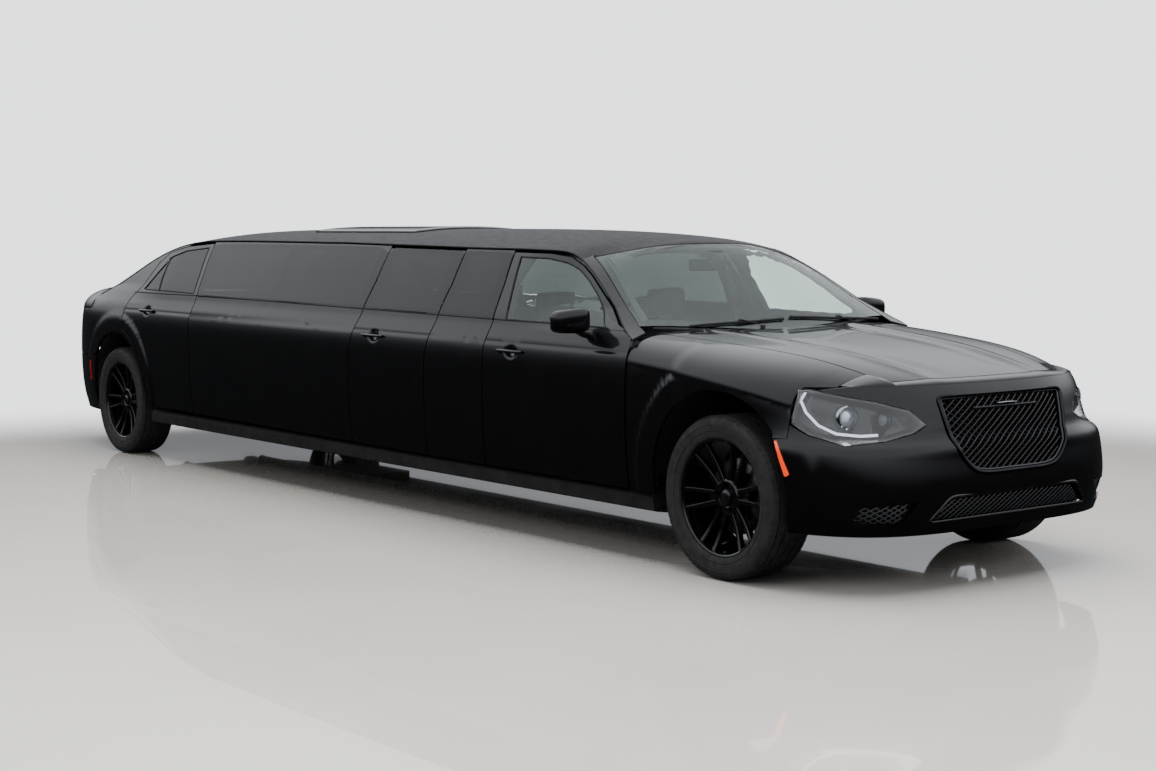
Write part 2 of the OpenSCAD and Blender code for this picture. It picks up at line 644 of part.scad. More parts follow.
// Front edge of the boot and half the width of its lid
boot_start = rx - 470;
boot_edge = 690;
function quarter_row(x, d) = let (s = boot_s(x), w = side_y(x, s), c = curve(BOOT_CENTRE, x - rx),
    e = acos(pow(min((boot_edge + half_gap) / w, 0.99), 3)))
    [for (k = [0:5]) let (a = e * k / 5, f = k / 5) [x, w * pow(cos(a), 1 / 3) - d * (1 - f),
        s + (c - s) * sin(a) - d * f]];
module tail_lamp_shape(inset) {
    intersection() {
        translate([rx - 1400, 0, 0])
            cube([540 - inset, far, far]);
        rotate([90, 0, 90])
            translate([0, 0, rx - 1400])
                linear_extrude(height = 600)
                    offset(delta = -inset)
                        polygon([[tail_half + 15, 690], [960, 690], [960, 935], [700, 935], [tail_half + 15, 900]]);
    }
}
// Plan outlines of the glass in the cab, as [x, y]
function windscreen_plan(g) = concat(
    [for (k = steps(-1, 1, 8)) [fx - 572 - 118 * k * k - g, k * (795 - g)]],
    [for (k = steps(1, -1, 8)) [fx - 1125 - 118 * k * k + g, k * (628 - g)]]);
function rear_window_plan(g) = concat(
    [for (k = steps(1, -1, 8)) [boot_start + 24 + 100 * k * k + g, k * (640 - g)]],
    [for (k = steps(-1, 1, 8)) [rx + 290 + 90 * k * k - g, k * (560 - g)]]);
// Wall of windscreen, roof or rear window, thinner by a share towards its sides
module cab_wall(x0, x1, nx, top, bottom, y_share, taper = 0) {
    ys = [-1, -0.93, -0.82, -0.66, -0.45, -0.22, 0, 0.22, 0.45, 0.66, 0.82, 0.93, 1];
    wall([for (x = steps(x0, x1, nx)) [for (k = ys) let (y = k * rail_y(x) * y_share) [x, y, cab_z(x, y) - top]]],
        [for (x = steps(x0, x1, nx)) [for (k = ys) let (y = k * rail_y(x) * y_share) [x, y * 0.985,
            cab_z(x, y) - top - (bottom - top) * (1 - taper * pow(abs(k), 4))]]]);
}
hatch_rear = mid_x - 640;
hatch_front = mid_x + 540;
hatch_half = 380;
roof_hatch = [[hatch_rear, -hatch_half], [hatch_rear, hatch_half], [hatch_front, hatch_half],
    [hatch_front, -hatch_half]];
module roof_shell() {
    color(satin_black)
        shell()
            difference() {
                union() {
                    cab_wall(fx - 612, fx - 1700, 14, 0, roof_depth, 1, 0.85);
                    cab_wall(fx - 1700, rx + 900, 6, 0, roof_depth, 1, 0.85);
                    cab_wall(rx + 900, boot_start + 2, 14, 0, roof_depth, 1, 0.85);
                }
                translate([0, 0, 700])
                    upright(windscreen_plan(0));
                translate([0, 0, 700])
                    upright(rear_window_plan(0));
                translate([0, 0, 700])
                    upright(roof_hatch);
                // Foot of the front pillar, over the door's corner
                both_sides()
                    intersection() {
                        across([[fx - 600, 900], [fx - 600, 1034], [fx - 720, 1058], [fx - 720, 900]]);
                        translate([fx - 800, 850, 850])
                            cube([300, 200, 400]);
                    }
            }
}
module windscreen() {
    color(glass_tint)
        shell()
            intersection() {
                cab_wall(fx - 560, fx - 1270, 10, 2, 2 + glass_depth, 0.97);
                translate([0, 0, 700])
                    upright(windscreen_plan(glass_gap));
            }
}
// Fixed panels of the stretched body
SHORT_PANEL = [[fx - 1745, door_bottom_z], [fx - 1745, 940], [fx - 1728, cowl_z + 30],
    [fx - 1744, cowl_z + cabin_h * 0.43], [fx - 1800, cowl_z + cabin_h * 0.9], [fx - 2229, cowl_z + cabin_h * 0.9],
    [fx - 2206, cowl_z + cabin_h * 0.43], [fx - 2228, cowl_z + 40], [fx - 2258, 936], [fx - 2277, 850],
    [fx - 2277, door_bottom_z]];
LONG_RIGHT = [[fx - 3041, door_bottom_z + 4], [fx - 3041, 854], [fx - 3016, 946], [fx - 2979, cowl_z + 40],
    [fx - 2953, cowl_z + cabin_h * 0.43], [fx - 2970, cowl_z + cabin_h * 0.9], [rx + 995, cowl_z + cabin_h * 0.9],
    [rx + 1055, cowl_z + cabin_h * 0.48], [rx + 1092, cowl_z + 70], [rx + 1080, 940], [rx + 1094, 752],
    [rx + 1098, door_bottom_z + 18]];
LONG_LEFT = concat([for (i = [0:3]) SHORT_PANEL[i]], [[fx - 1800, cowl_z + cabin_h * 0.9]],
    [for (i = [6:11]) LONG_RIGHT[i]]);
function window_between(a, b, n, i) = let (w = (a - b - 50) / n, x1 = a - 50 - w * i, x0 = x1 - w + 50)
    [[x1, cowl_z + 62], [x1 - 10, cowl_z + cabin_h * 0.77], [x0 + 10, cowl_z + cabin_h * 0.77], [x0, cowl_z + 66]];
long_a = fx - 2985;
long_b = rx + 1060;
left_a = fx - 1800;
right_windows = [for (i = [0:1]) window_between(long_a, long_b, 2, i)];
left_windows = [for (i = [0:2]) window_between(left_a, long_b, 3, i)];
SHORT_WINDOW = [[fx - 1800, cowl_z + 52], [fx - 1822, cowl_z + cabin_h * 0.74], [fx - 2160, cowl_z + cabin_h * 0.745],
    [fx - 2150, cowl_z + cabin_h * 0.43], [fx - 2172, cowl_z + 54]];
module fixed_panel(outline, windows, x0, x1, nx) {
    shell()
        difference() {
            intersection() {
                side_wall(steps(x0, x1, nx), door_bottom_z - 20, roof_height - 40, 0, 60, 0, frame_depth);
                across_inset(outline, half_gap);
            }
            above_rail(x1, x0, rail_seat);
            for (w = windows)
                across(w);
        }
}
module stretch_panels() {
    color(paint) {
        mirror([0, 1, 0])
            fixed_panel(SHORT_PANEL, [SHORT_WINDOW], fx - 2300, fx - 1700, 2);
        mirror([0, 1, 0])
            fixed_panel(LONG_RIGHT, right_windows, rx + 960, fx - 2900, 4);
        fixed_panel(LONG_LEFT, left_windows, rx + 960, fx - 1700, 8);
    }
}
module fixed_glass() {
    color(glass_tint) {
        mirror([0, 1, 0])
            pane(SHORT_WINDOW, 1, fx - 2300, fx - 1700);
        mirror([0, 1, 0])
            for (w = right_windows)
                pane(w, 3, rx + 960, fx - 2900);
        for (w = left_windows)
            pane(w, 4, rx + 960, fx - 1700);
        shell()
            intersection() {
                cab_wall(rx + 420, boot_start + 6, 10, 2, 2 + glass_depth, 0.97);
                translate([0, 0, 700])
                    upright(rear_window_plan(glass_gap));
            }
    }
}
module moonroof() {
    color("#0c0d0e")
        shell()
            intersection() {
                cab_wall(hatch_front + 10, hatch_rear - 10, 3, -16, 8, 0.7);
                translate([0, 0, 700])
                    upright([for (p = roof_hatch) [p[0] + (p[0] < mid_x ? 4 : -4), p[1] * (1 - 4 / hatch_half)]]);
            }
}
module cowl_bulkhead() {
    color(trim_black) {
        difference() {
            translate([fx - 640, -730, floor_z + floor_depth + seat_gap])
                cube([24, 1460, 690]);
            // Room for the gearbox, the tunnel and the two rails
            translate([fx - 650, -tunnel_half - 14, 200])
                cube([50, 2 * tunnel_half + 28, tunnel_top + 14 - 200]);
            both_sides()
                translate([fx - 650, rail_in - 2, 200])
                    cube([50, rail_width + 4, 212]);
        }
        translate([fx - 700, -640, 925])
            cube([110, 1280, 18]);
    }
}
module grilles() {
    color("#17181a") {
        shell()
            intersection() {
                nose_set(470, 830, 14, 22);
                along_inset(GRILLE, 1);
            }
        shell()
            intersection() {
                nose_set(290, 420, 14, 22);
                along_inset(LOWER_GRILLE, 1);
            }
    }
}
// Wall like the nose cover, but set back
module nose_set(z0, z1, back, d) {
    zs = steps(z0, z1, 5);
    angles = [-46, -30, -20, -12, -5, 0, 5, 12, 20, 30, 46];
    wall([for (z = zs) [for (a = angles) nose_ring(z, a) - [back, 0, 0]]],
        [for (z = zs) [for (a = angles) nose_ring(z, a) - [back + d, 0, 0]]]);
}
module headlamps() {
    color("#dfe3e6")
        both_sides()
            shell()
                intersection() {
                    nose_cover(640, 862, 6, 90);
                    lamp_shape(2);
                }
}
module tail_lamps() {
    color("#8c1216")
        both_sides()
            shell()
                intersection() {
                    tail_cover(680, 975, 5, 70);
                    tail_lamp_shape(2);
                }
}
module hood() {
    rows = steps(fx + 690, fx - 596, 10);
    ks = steps(-1, 1, 14);
    color(paint)
        shell()
            difference() {
                wall([for (x = rows) [for (k = ks) let (y = k * (hood_edge(x) - half_gap)) [x, y, hood_z(x, y)]]],
                    [for (x = rows) [for (k = ks) let (y = k * (hood_edge(x) - half_gap)) [x, y,
                        hood_z(x, y) - lid_depth]]]);
                // Curved front edge over the grille
                translate([0, 0, 500])
                    upright(concat([for (k = steps(-1, 1, 12)) [nose_x(k * 620, 862) - 66, k * 620]],
                        [[fx + 1400, 700], [fx + 1400, -700]]));
                translate([0, 0, 500])
                    upright(concat([for (k = steps(-1, 1, 12)) [fx - 566 - 90 * k * k, k * 760]],
                        [[fx - 900, 760], [fx - 900, -760]]));
            }
}
module boot_lid() {
    ks = steps(-1, 1, 12);
    xs = steps(boot_start - shut_gap, rx - 1078, 6);
    w = boot_edge - half_gap;
    color(paint)
        shell() {
            intersection() {
                wall([for (x = xs) [for (k = ks) [x, k * w, boot_z(x, k * w)]]],
                    [for (x = xs) [for (k = ks) [x, k * w, boot_z(x, k * w) - lid_depth]]]);
                // Narrower across the tail, and inside its curve
                translate([0, 0, 500])
                    upright(concat([for (k = steps(-1, 1, 10)) [tail_x(k * tail_half, 1050), k * tail_half]],
                        [[rx - 952, tail_half], [rx - 952, w + 1], [rx, w + 1], [rx, -w - 1], [rx - 952, -w - 1],
                            [rx - 952, -tail_half]]));
            }
            intersection() {
                tail_cover(660, 1060, 5, lid_depth);
                translate([rx - 1400, -tail_half, 650])
                    cube([410, 2 * tail_half, 400]);
            }
        }
}
module plate_bracket() {
    w = plate_screws_y + 140;
    h = plate_screws_z + 50;
    px = tail_x(0, 560) - 11 - seat_gap;
    color(trim_black)
        difference() {
            translate([px, -w / 2, 470])
                cube([10, w, h]);
            for (y = [-1, 1])
                for (z = [0, 1])
                    translate([px - 1, y * plate_screws_y / 2, 470 + 25 + z * plate_screws_z])
                        rotate([0, 90, 0])
                            cylinder(r = plate_hole_r, h = 12);
        }
}

// ---------- Interior ----------
module dashboard() {
    color("#1e1f21") {
        rotate([90, 0, 0])
            linear_extrude(height = 1400, center = true)
                polygon([[fx - 640 - seat_gap, 560], [fx - 640 - seat_gap, 900], [fx - 780, 935], [fx - 960, 925],
                    [fx - 1010, 850], [fx - 930, 700], [fx - 900, 560]]);
        // Steering column
        on_column()
            translate([0, 0, -230])
                cylinder(r = 36, h = 189);
    }
}
seat_y = 375;
module on_column() {
    translate([fx - 1130, seat_y, 860])
        rotate([0, -68, 0])
            children();
}
module steering_wheel() {
    color("#141415")
        on_column() {
                rotate_extrude($fn = 64)
                    translate([steering_radius - grip_radius, 0])
                        circle(r = grip_radius);
                for (a = [0, 180, 270])
                    rotate([0, 0, a])
                        translate([20, -16, -8])
                            cube([steering_radius - grip_radius - 20, 32, 14]);
                translate([0, 0, -40])
                    cylinder(r = 62, h = 52);
            }
}
// Seat from a side outline of [length, height], as wide as stated
module seat_body(points, width) {
    rotate([90, 0, 0])
        linear_extrude(height = width, center = true)
            polygon(points);
}
seat_z = floor_z + floor_depth + seat_gap;
module front_seats() {
    x = fx - 1300;
    color("#5a5b5e")
        both_sides()
            translate([0, seat_y, 0])
                seat_body([[x - 30, seat_z], [x, 480], [x - 60, 520], [x - 430, 500], [x - 560, 980],
                    [x - 545, 1060], [x - 560, 1180], [x - 610, 1190], [x - 650, 1060], [x - 640, 960],
                    [x - 560, 460], [x - 520, seat_z]], 460);
}
partition_x = fx - 2080;
module partition() {
    color("#222325")
        difference() {
            translate([partition_x - 40, -690, seat_z])
                cube([40, 1380, 860]);
            translate([partition_x - 50, -tunnel_half - 14, 200])
                cube([60, 2 * tunnel_half + 28, tunnel_top + 14 - 200]);
            translate([partition_x - 45, -440, 760])
                cube([50, 880, 260]);
        }
}
cushion_z = boot_floor_z + 30 + seat_gap;
module lounge_seats() {
    x = rx + 620;
    color("#5a5b5e") {
        seat_body([[x, tunnel_top + 13], [x + 10, 545], [x - 20, 600], [x - 480, 580], [x - 640, 1060],
            [x - 700, 1070], [x - 710, 960], [x - 570, cushion_z], [x - 178, cushion_z], [x - 178, tunnel_top + 13]],
            1290);
        // Long bench along the left side
        translate([x + 160, 345, seat_z])
            cube([fx - 2500 - x - 160, 400, 250]);
        translate([x + 160, 635, seat_z + 240])
            cube([fx - 2500 - x - 160, 110, 430]);
    }
}
bar_wells = 3;
bar_rear = rx + 1350;
bar_length = fx - 3300 - bar_rear;
module bar_cabinet() {
    color("#3b2417")
        difference() {
            translate([bar_rear, -740, seat_z])
                cube([bar_length, 300, 520]);
            // Wells for glasses and ice
            for (i = [0:bar_wells - 1])
                translate([bar_rear + 50 + i * (bar_length - 40) / bar_wells, -710, seat_z + 380])
                    cube([(bar_length - 40) / bar_wells - 60, 240, 200]);
        }
}

// ---------- Doors ----------
module front_door() {
    door(FRONT_DOOR, FRONT_WINDOW, 6, fx - 1800, fx - 590);
    mirror_housing();
}
module front_door_left() { color(paint) front_door(); }
module front_door_right() { color(paint) on_side("right") front_door(); }
module mid_door_right() { color(paint) on_side("right") door(MID_DOOR, MID_WINDOW, 2, fx - 3060, fx - 2180); }
module rear_door() {
    door(REAR_DOOR, REAR_WINDOW, 4, rx + 60, rx + 1120);
}
module rear_door_left() { color(paint) rear_door(); }
module rear_door_right() { color(paint) on_side("right") rear_door(); }
module front_glass_left() { color(glass_tint) pane(FRONT_WINDOW, 5, fx - 1800, fx - 640); }
module front_glass_right() { color(glass_tint) on_side("right") pane(FRONT_WINDOW, 5, fx - 1800, fx - 640); }
module mid_glass_right() { color(glass_tint) on_side("right") pane(MID_WINDOW, 1, fx - 3060, fx - 2180); }
module rear_glass_left() { color(glass_tint) pane(REAR_WINDOW, 3, rx + 60, rx + 1120); }
module rear_glass_right() { color(glass_tint) on_side("right") pane(REAR_WINDOW, 3, rx + 60, rx + 1120); }

// ---------- Wheels ----------
module knuckle_left() {
    color("#4c4e52") {
        hub_spindle(fx);
        translate([fx - 32, hub_y - 52, arch_drop - 150])
            cube([64, 48, 330]);
        // Upper and lower ball joints on the steering axis
        translate([fx, hub_y - 20, arch_drop - 162])
            cylinder(r = 15, h = 354);
        translate([fx - 60, hub_y - 60, arch_drop - 60])
            cube([120, 58, 120]);
    }
}
module knuckle_right() { on_side("right") knuckle_left(); }
module tyre(x) {
    color("#17171a")
        translate([x, track / 2, arch_drop])
            rotate([90, 0, 0])
                rotate_extrude($fn = 96)
                    polygon([[rim_radius + 1, -tyre_width / 2 + 22], [rim_radius + 30, -tyre_width / 2 + 4],
                        [tyre_radius - 40, -tyre_width / 2], [tyre_radius - 12, -tyre_width / 2 + 12],
                        [tyre_radius, -tyre_width / 2 + 34], [tyre_radius, tyre_width / 2 - 34],
                        [tyre_radius - 12, tyre_width / 2 - 12], [tyre_radius - 40, tyre_width / 2],
                        [rim_radius + 30, tyre_width / 2 - 4], [rim_radius + 1, tyre_width / 2 - 22]]);
}
// Face of the wheel: a hub and pairs of thin spokes
module spokes() {
    circle(r = 76);
    for (i = [0:spoke_pairs - 1])
        for (s = [-1, 1])
            rotate(360 / spoke_pairs * i)
                translate([40, s * 26])
                    rotate(s * 5)
                        translate([0, -11])
                            square([rim_radius - 52, 22]);
}
module rim(x) {
    w = tyre_width / 2;
    color("#1a1a1c")
        translate([x, track / 2, arch_drop])
            rotate([-90, 0, 0])
                difference() {
                    union() {
                        // Barrel
                        rotate_extrude($fn = 96)
                            polygon([[rim_radius - 22, -w + 24], [rim_radius, -w + 24], [rim_radius, w - 22],
                                [rim_radius - 3, w - 16], [rim_radius - 22, w - 18]]);
                        // Hub, brake disc and spokes
                        translate([0, 0, -70])
                            cylinder(r = 70, h = 140);
                        translate([0, 0, -46])
                            cylinder(r = 172, h = 26);
                        translate([0, 0, 56])
                            linear_extrude(height = 34)
                                spokes();
                    }
                    translate([0, 0, -100])
                        cylinder(r = spindle_radius + 0.05, h = 165);
                }
}
module tyre_front_left() { tyre(fx); }
module tyre_front_right() { on_side("right") tyre(fx); }
module tyre_rear_left() { tyre(rx); }
module tyre_rear_right() { on_side("right") tyre(rx); }
module rim_front_left() { rim(fx); }
module rim_front_right() { on_side("right") rim(fx); }
module rim_rear_left() { rim(rx); }
module rim_rear_right() { on_side("right") rim(rx); }

// ---------- Assembly ----------
floor_pan();
front_suspension();
rear_suspension();
engine_block();
driveline();
exhaust_system();
fuel_tank();
front_bumper();
rear_bumper();
front_fenders();
rear_quarters();
roof_shell();
stretch_panels();
cowl_bulkhead();
grilles();
headlamps();
tail_lamps();
windscreen();
fixed_glass();
moonroof();
dashboard();
steering_wheel();
front_seats();
partition();
lounge_seats();
bar_cabinet();
hood();
boot_lid();
plate_bracket();
front_door_left();
front_door_right();
mid_door_right();
rear_door_left();
rear_door_right();
front_glass_left();
front_glass_right();
mid_glass_right();
rear_glass_left();
rear_glass_right();
knuckle_left();
knuckle_right();
tyre_front_left();
tyre_front_right();
tyre_rear_left();
tyre_rear_right();
rim_front_left();
rim_front_right();
rim_rear_left();
rim_rear_right();
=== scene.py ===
import json
import math

import bmesh
import bpy
import numpy as np
from mathutils import Matrix
from mathutils import Vector

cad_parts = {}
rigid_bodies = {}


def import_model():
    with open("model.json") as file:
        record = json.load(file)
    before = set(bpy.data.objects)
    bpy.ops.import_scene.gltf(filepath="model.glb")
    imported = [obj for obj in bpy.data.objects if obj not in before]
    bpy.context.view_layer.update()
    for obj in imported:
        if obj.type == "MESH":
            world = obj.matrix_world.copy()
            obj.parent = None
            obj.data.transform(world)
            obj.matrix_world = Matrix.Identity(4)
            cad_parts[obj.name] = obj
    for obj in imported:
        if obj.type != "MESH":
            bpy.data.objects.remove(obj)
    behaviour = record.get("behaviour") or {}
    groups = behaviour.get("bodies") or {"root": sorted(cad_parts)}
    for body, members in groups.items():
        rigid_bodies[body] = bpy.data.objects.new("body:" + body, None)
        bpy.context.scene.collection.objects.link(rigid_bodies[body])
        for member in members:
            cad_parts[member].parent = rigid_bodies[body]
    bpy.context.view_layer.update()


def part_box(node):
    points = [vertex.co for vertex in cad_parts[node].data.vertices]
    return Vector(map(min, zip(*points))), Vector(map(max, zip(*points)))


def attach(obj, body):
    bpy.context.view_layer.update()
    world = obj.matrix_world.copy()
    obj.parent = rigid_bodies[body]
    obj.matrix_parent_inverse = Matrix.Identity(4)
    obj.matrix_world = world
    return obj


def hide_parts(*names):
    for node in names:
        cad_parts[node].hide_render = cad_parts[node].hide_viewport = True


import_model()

MM = 0.001


def middle(node):
    low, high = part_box(node)
    return (low + high) / 2


# Both axles and the wheel centres, in millimetres
FX = middle("tyre_front_left").x / MM
RX = middle("tyre_rear_left").x / MM
WHEEL_Y = middle("tyre_front_left").y / MM
HUB_Z = middle("tyre_front_left").z / MM
TYRE_R = HUB_Z
RIM_R = 256
RING_MM = 1300
COWL = 1020
CABIN = 488
DOOR_FOOT = 330
ARCH_Z = 410
ARCH_R = 414
GAP = 4

# ---------------------------------------------------------------- camera
# Where the camera stands, and how it is turned: heading, pitch and roll in degrees
EYE = Vector((9.31810, -6.36855, 1.52271))
HEADING = 142.61642
PITCH = -4.74414
ROLL = -0.27892
LENS = 60.01


def make_camera():
    head = math.radians(HEADING)
    pitch = math.radians(PITCH)
    roll = math.radians(ROLL)
    ahead = Vector((math.cos(head) * math.cos(pitch), math.sin(head) * math.cos(pitch), math.sin(pitch)))
    right = ahead.cross(Vector((0, 0, 1))).normalized()
    up = right.cross(ahead)
    right, up = right * math.cos(roll) + up * math.sin(roll), up * math.cos(roll) - right * math.sin(roll)
    data = bpy.data.cameras.new("camera")
    data.lens = LENS
    data.sensor_width = 36
    data.clip_start = 0.1
    data.clip_end = 200
    camera = bpy.data.objects.new("camera", data)
    turn = Matrix((right, up, -ahead)).transposed().to_4x4()
    camera.matrix_world = Matrix.Translation(EYE) @ turn
    bpy.context.collection.objects.link(camera)
    bpy.context.scene.camera = camera


make_camera()

# ---------------------------------------------------------------- body surface
# The body's tables, in millimetres: height or length first, then half width, height or share
FLANK = [[230, 905], [330, 926], [430, 938], [560, 946], [700, 948], [820, 946], [900, 940], [945, 931],
         [985, 913], [1030, 893], [1065, 882], [1090, 872], [1180, 827], [1270, 779], [1350, 731],
         [1440, 672]]
NOSE_REACH = [[240, .955], [340, .987], [440, 1], [560, .988], [610, .982], [650, .966], [700, .957],
              [800, .93], [860, .893], [900, .85]]
NOSE_POWER = [[300, 3.9], [450, 3.75], [600, 3.5], [650, 2.95], [800, 2.7], [900, 2.6]]
TAIL_REACH = [[240, .965], [400, .995], [560, 1], [800, .985], [950, .965], [1060, .93], [1100, .915]]
TAIL_POWER = 3.8
ROOF_FRONT = [[-2900, 1], [-2300, .992], [-1800, .969], [-1450, .93], [-1250, .885], [-1120, .84],
              [-840, .44], [-560, 0]]
ROOF_REAR = [[-600, .05], [-440, .17], [-100, .43], [160, .65], [330, .785], [600, .915], [900, .974],
             [1500, 1]]
RAIL_FRONT = [[-3500, .85], [-2200, .807], [-1500, .787], [-1328, .75], [-1122, .568], [-937, .348],
              [-723, .09], [-560, -.07]]
RAIL_REAR = [[-600, -.03], [-440, .09], [-70, .37], [330, .665], [640, .805], [1000, .855], [2600, .85]]
HOOD_CENTRE = [[-640, 1040], [-200, 1008], [200, 968], [500, 918], [720, 868], [800, 840]]
SHOULDER_FRONT = [[-640, 905], [-200, 868], [200, 815], [500, 742], [720, 690], [800, 670]]
BOOT_CENTRE = [[-1080, 1030], [-1000, 1082], [-860, 1110], [-480, 1112], [-300, 1105]]
SHOULDER_REAR = [[-1080, 905], [-860, 945], [-480, 968], [-300, 975]]
MID_X = (FX - 2900 + RX + 1500) / 2
BOOT_START = RX - 470
BOOT_EDGE = 690


def curve(table, x):
    """Smooth curve through a table's points, with the slopes of its neighbours."""
    t = np.array(table, float)
    lower = np.maximum(np.arange(len(t)) - 1, 0)
    upper = np.minimum(np.arange(len(t)) + 1, len(t) - 1)
    lean = (t[upper, 1] - t[lower, 1]) / (t[upper, 0] - t[lower, 0])
    x = np.asarray(x, float)
    i = np.clip(np.searchsorted(t[:, 0], x, side="right") - 1, 0, len(t) - 2)
    h = t[i + 1, 0] - t[i, 0]
    s = np.clip((x - t[i, 0]) / h, 0, 1)
    return ((1 + 2 * s) * (1 - s) ** 2 * t[i, 1] + s * s * (3 - 2 * s) * t[i + 1,
            1] + h * s * (1 - s) ** 2 * lean[i] - h * s * s * (1 - s) * lean[i + 1])


def unit(t):
    return np.clip(t, 0, 1)


def mix(a, b, t):
    return a + (b - a) * t


def ease(t):
    t = unit(t)
    return t * t * (3 - 2 * t)


def section_z(x, z):
    return z - 30 * unit((FX - 600 - x) / 5300)


def nose_share(x, z):
    p = curve(NOSE_POWER, z)
    u = np.clip((x - FX + 150) / (1005 * curve(NOSE_REACH, z)), 0, .99999)
    return (1 - u ** p) ** (1 / p)


def tail_share(x, z):
    u = np.clip((RX + 100 - x) / (1215 * curve(TAIL_REACH, z)), 0, .99999)
    return (1 - u ** TAIL_POWER) ** (1 / TAIL_POWER)


def cabin_share(x, z):
    pinch = .06 * ease((x - FX + 1650) / 500) + .07 * ease((RX + 650 - x) / 1100)
    return 1 - unit((z - COWL) / 120) * pinch


def side_y(x, z):
    return curve(FLANK, section_z(x, z)) * nose_share(x, z) * tail_share(x, z) * cabin_share(x, z)


def flare(x, z):
    """Raised band round each wheel arch, and how far it stands out."""
    out = 0
    for axle in (FX, RX):
        r = np.hypot(x - axle, z - ARCH_Z)
        out = out + 11 * ease((560 - r) / 46) * unit((z - 250) / 120)
    # The upper crease along the doors
    line = 948 + 30 * unit((FX - 500 - x) / 5200)
    along = ease((FX - 420 - x) / 400) * ease((x - RX + 700) / 500)
    return out - 3 * along * np.exp(-((z - line) / 10) ** 2)


def roof_centre(x):
    front = curve(ROOF_FRONT, x - FX)
    rear = curve(ROOF_REAR, x - RX)
    return COWL + CABIN * np.where(x > MID_X, front, rear)


def rail_z(x):
    front = curve(RAIL_FRONT, x - FX)
    rear = curve(RAIL_REAR, x - RX)
    return COWL + CABIN * np.where(x > MID_X, front, rear)


def rail_y(x):
    return side_y(x, rail_z(x))


def cab_z(x, y):
    edge = rail_z(x)
    return edge + (roof_centre(x) - edge) * (1 - np.minimum(np.abs(y) / rail_y(x), 1) ** 2.2)


def over(centre, shoulder, half, power, y):
    return shoulder + (centre - shoulder) * np.sqrt(np.maximum(1 - np.minimum(np.abs(y) / half, 1) ** power,
            0))


def shoulder_power(x):
    return mix(4, 8, unit((FX + 500 - x) / 1100))


def ridge(x, y):
    """Two raised creases that run along the hood and spread towards the windscreen."""
    line = mix(455, 330, unit((x - FX + 600) / 1300))
    return 7 * np.exp(-((np.abs(y) - line) / 34) ** 2) - 5 * np.exp(-((np.abs(y) - line + 90) / 70) ** 2)


def hood_z(x, y):
    low = curve(SHOULDER_FRONT, x - FX)
    plain = over(curve(HOOD_CENTRE, x - FX), low, side_y(x, low), shoulder_power(x), y)
    return plain + ridge(x, y) * ease((FX + 760 - x) / 300)


def hood_edge(x):
    return mix(540, 735, unit((FX + 590 - x) / 1190))


def boot_z(x, y):
    low = curve(SHOULDER_REAR, x - RX)
    return over(curve(BOOT_CENTRE, x - RX), low, side_y(x, low), 6, y)


def ring_sizes(z, tail):
    """Half width, reach and power of the nose's or the tail's outline at a height."""
    if tail:
        return curve(FLANK, section_z(RX, z)), 1215 * curve(TAIL_REACH, z), TAIL_POWER + 0 * z
    return curve(FLANK, z), 1005 * curve(NOSE_REACH, z), curve(NOSE_POWER, z)


def ring_at(s, z, tail):
    """Point on nose or tail. s goes from -1 at the right, by 0 in the middle, to 1 at the left."""
    b, r, p = ring_sizes(z, tail)
    # s is turned to an angle that spreads the points evenly
    a = np.abs(s) * math.pi / 2
    lean = np.tan(a)
    k = (1 / (1 + lean ** p)) ** (1 / p)
    across = b * k * lean
    across = np.where(a > math.pi / 2 - 1e-6, b, across)
    k = np.where(a > math.pi / 2 - 1e-6, 0, k)
    x = RX + 100 - r * k if tail else FX - 150 + r * k
    return x, across * np.sign(s), z


def ring_s_of_y(y, z, tail=False):
    b, _, p = ring_sizes(np.asarray(z, float), tail)
    share = np.minimum(np.abs(y) / b, .99999)
    along = (1 - share ** p) ** (1 / p)
    return np.arctan2(share, along) / (math.pi / 2) * np.sign(y)


def ring_s_of_x(x, z, tail=False):
    _, r, p = ring_sizes(np.asarray(z, float), tail)
    along = np.clip(((RX + 100 - x) if tail else (x - FX + 150)) / r, 0, 1)
    share = (1 - along ** p) ** (1 / p)
    return np.arctan2(share, along) / (math.pi / 2)


# Each kind of surface turns two places and a depth below the surface into a point of the left side
def on_flank(u, v, d):
    return np.stack([u, side_y(u, v) + flare(u, v) - d, v], 1)


def on_hood(u, v, d):
    return np.stack([u, v, hood_z(u, v) - d], 1)


def on_boot(u, v, d):
    return np.stack([u, v, boot_z(u, v) - d], 1)


def on_cab(u, v, d):
    return np.stack([u, v, cab_z(u, v) - d], 1)


def on_ring(u, v, d, tail):
    x, y, z = ring_at(u, v, tail)
    n = ring_normal(u, v, tail)
    base = np.stack([x, y, z], 1)
    if not tail:
        base[:, 1] += np.sign(y) * flare(x, z)
    return base - n * d[:, None]


def ring_normal(u, v, tail):
    step = .004
    x0, y0, _ = ring_at(u - step, v, tail)
    x1, y1, _ = ring_at(u + step, v, tail)
    n = np.stack([y1 - y0, x0 - x1, 0 * u], 1)
    if tail:
        n = -n
    return n / np.linalg.norm(n, axis=1)[:, None]


def on_nose(u, v, d):
    return on_ring(u, v, d, False)


def on_tail(u, v, d):
    return on_ring(u, v, d, True)


